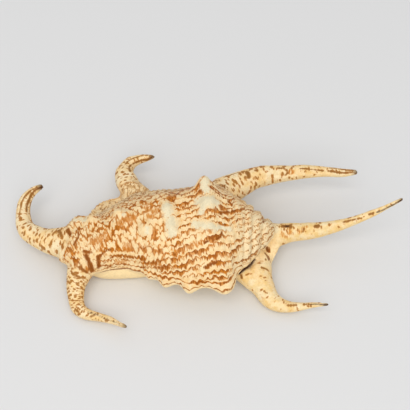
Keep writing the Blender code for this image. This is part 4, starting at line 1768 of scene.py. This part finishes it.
    def _relief(self, w: ShellWeave, pigment: Any) -> Any:
        """Raise fine spiral threads, flecks and the pigment a little.

        Args:
            w: The material's nodes.
            pigment: Where pigment is.

        Returns:
            The normal.
        """
        turn = w.add("Math", w.kept["cord"], math.tau / self.thread, operation='MULTIPLY')
        off_digit = w.add("Math", 1.0, w.kept["digit"], operation='SUBTRACT')
        threads = w.add("Math", w.add("Math", turn, operation='SINE'), off_digit,
                        operation='MULTIPLY')
        height = w.add("Math", threads, 0.12, w.flecks, operation='MULTIPLY_ADD')
        height = w.add("Math", pigment, 0.3, height, operation='MULTIPLY_ADD')
        strength = w.add("MapRange", w.kept["callus"], 0.0, 1.0, 0.4, 0.06)
        return w.add("Bump", strength, ports={"Distance": 0.5 * MM, "Height": height})


# ---- light, floor and camera ------------------------------------------------------------

@dataclass(frozen=True)
class Lamp:
    """A square soft box that faces the shell.

    Attributes:
        name: What it is.
        offset: Its place from the point that the camera looks at, in metres.
        side: Its side, in metres.
        power: Its power, in watts.
    """

    name: str
    offset: tuple[float, float, float]
    side: float
    power: float


@dataclass
class Studio:
    """A pale floor, an even sky with soft lamps, and the camera.

    Attributes:
        elevation: The camera's angle over the floor, in degrees.
        distance: From the camera to the point that it looks at, in millimetres.
        aim: That point, in the shell's own millimetres.
        lens: Focal length on a 36 mm sensor.
        floor_side: Side of the floor, in metres.
        sky: Colour of the sky.
        sky_strength: Strength of the sky.
        lamps: The lamps.
    """

    elevation: float = 50.0
    distance: float = 700.0
    aim: tuple[float, float, float] = (-2.0, 37.0, 10.0)
    lens: float = 102.44
    floor_side: float = 6.0
    sky: str = "#f5f5f7"
    sky_strength: float = 0.68
    lamps: tuple[Lamp, ...] = (Lamp("front", (-0.15, -1.4, 1.7), 2.0, 30.4),
                               Lamp("window", (-0.5, 0.7, 1.7), 1.6, 2.0),
                               Lamp("bounce", (0.05, -1.2, 0.35), 0.8, 0.25))

    def build(self, shift: np.ndarray) -> None:
        """Set up the floor, the world, the lamps and the camera.

        Args:
            shift: From the shell's own place to its place in the frame, in metres.
        """
        aim = Vector(np.array(self.aim) * MM + shift)
        self._floor(aim)
        self._world()
        for lamp in self.lamps:
            self._lamp(lamp, aim)
        self._camera(aim)
        log.info("studio: floor, sky, %d lamps and camera", len(self.lamps))

    def _floor(self, aim: Vector) -> None:
        """Lay the floor.

        Args:
            aim: The point that the floor's middle is under.
        """
        deselect()
        bpy.ops.mesh.primitive_plane_add(size=self.floor_side, location=(aim.x, aim.y, 0.0))
        floor = bpy.context.object
        floor.name = "floor"
        bpy.ops.object.transform_apply(location=True, rotation=True, scale=True)
        floor.data.materials.append(PlainFloor().make())

    def _world(self) -> None:
        """Light everything evenly from the sky."""
        world = bpy.data.worlds.new("soft_room")
        bpy.context.scene.world = world
        world.use_nodes = True
        background = world.node_tree.nodes["Background"]
        background.inputs["Color"].default_value = srgb(self.sky)
        background.inputs["Strength"].default_value = self.sky_strength

    @staticmethod
    def _lamp(lamp: Lamp, aim: Vector) -> None:
        """Hang a lamp.

        Args:
            lamp: The lamp.
            aim: The point that it faces.
        """
        light = bpy.data.lights.new(lamp.name, 'AREA')
        light.size = lamp.side
        light.energy = lamp.power
        hung = bpy.data.objects.new(lamp.name, light)
        bpy.context.scene.collection.objects.link(hung)
        offset = Vector(lamp.offset)
        hung.location = aim + offset
        hung.rotation_euler = (-offset).to_track_quat('-Z', 'Y').to_euler()

    def _camera(self, aim: Vector) -> None:
        """Place the camera.

        Args:
            aim: The point that it looks at.
        """
        lens = bpy.data.cameras.new("camera")
        lens.lens = self.lens
        lens.clip_start = 0.01
        camera = bpy.data.objects.new("camera", lens)
        bpy.context.scene.collection.objects.link(camera)
        tilt = math.radians(self.elevation)
        back = Vector((0.0, -math.cos(tilt), math.sin(tilt))) * self.distance * MM
        camera.location = aim + back
        camera.rotation_euler = (math.radians(90.0) - tilt, 0.0, 0.0)
        bpy.context.scene.camera = camera


def main() -> None:
    """Build the shell and its studio, and log the shell's face count."""
    logging.basicConfig(level=logging.INFO, format="%(name)s %(message)s")
    bpy.context.scene.view_settings.view_transform = 'Standard'
    conch = ConchShell()
    shell = conch.build()
    shell.data.materials.clear()
    shell.data.materials.append(GrownShell().make())
    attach(shell, "root")
    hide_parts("shell")
    Studio().build(conch.shift)


if __name__ == "__main__":
    main()
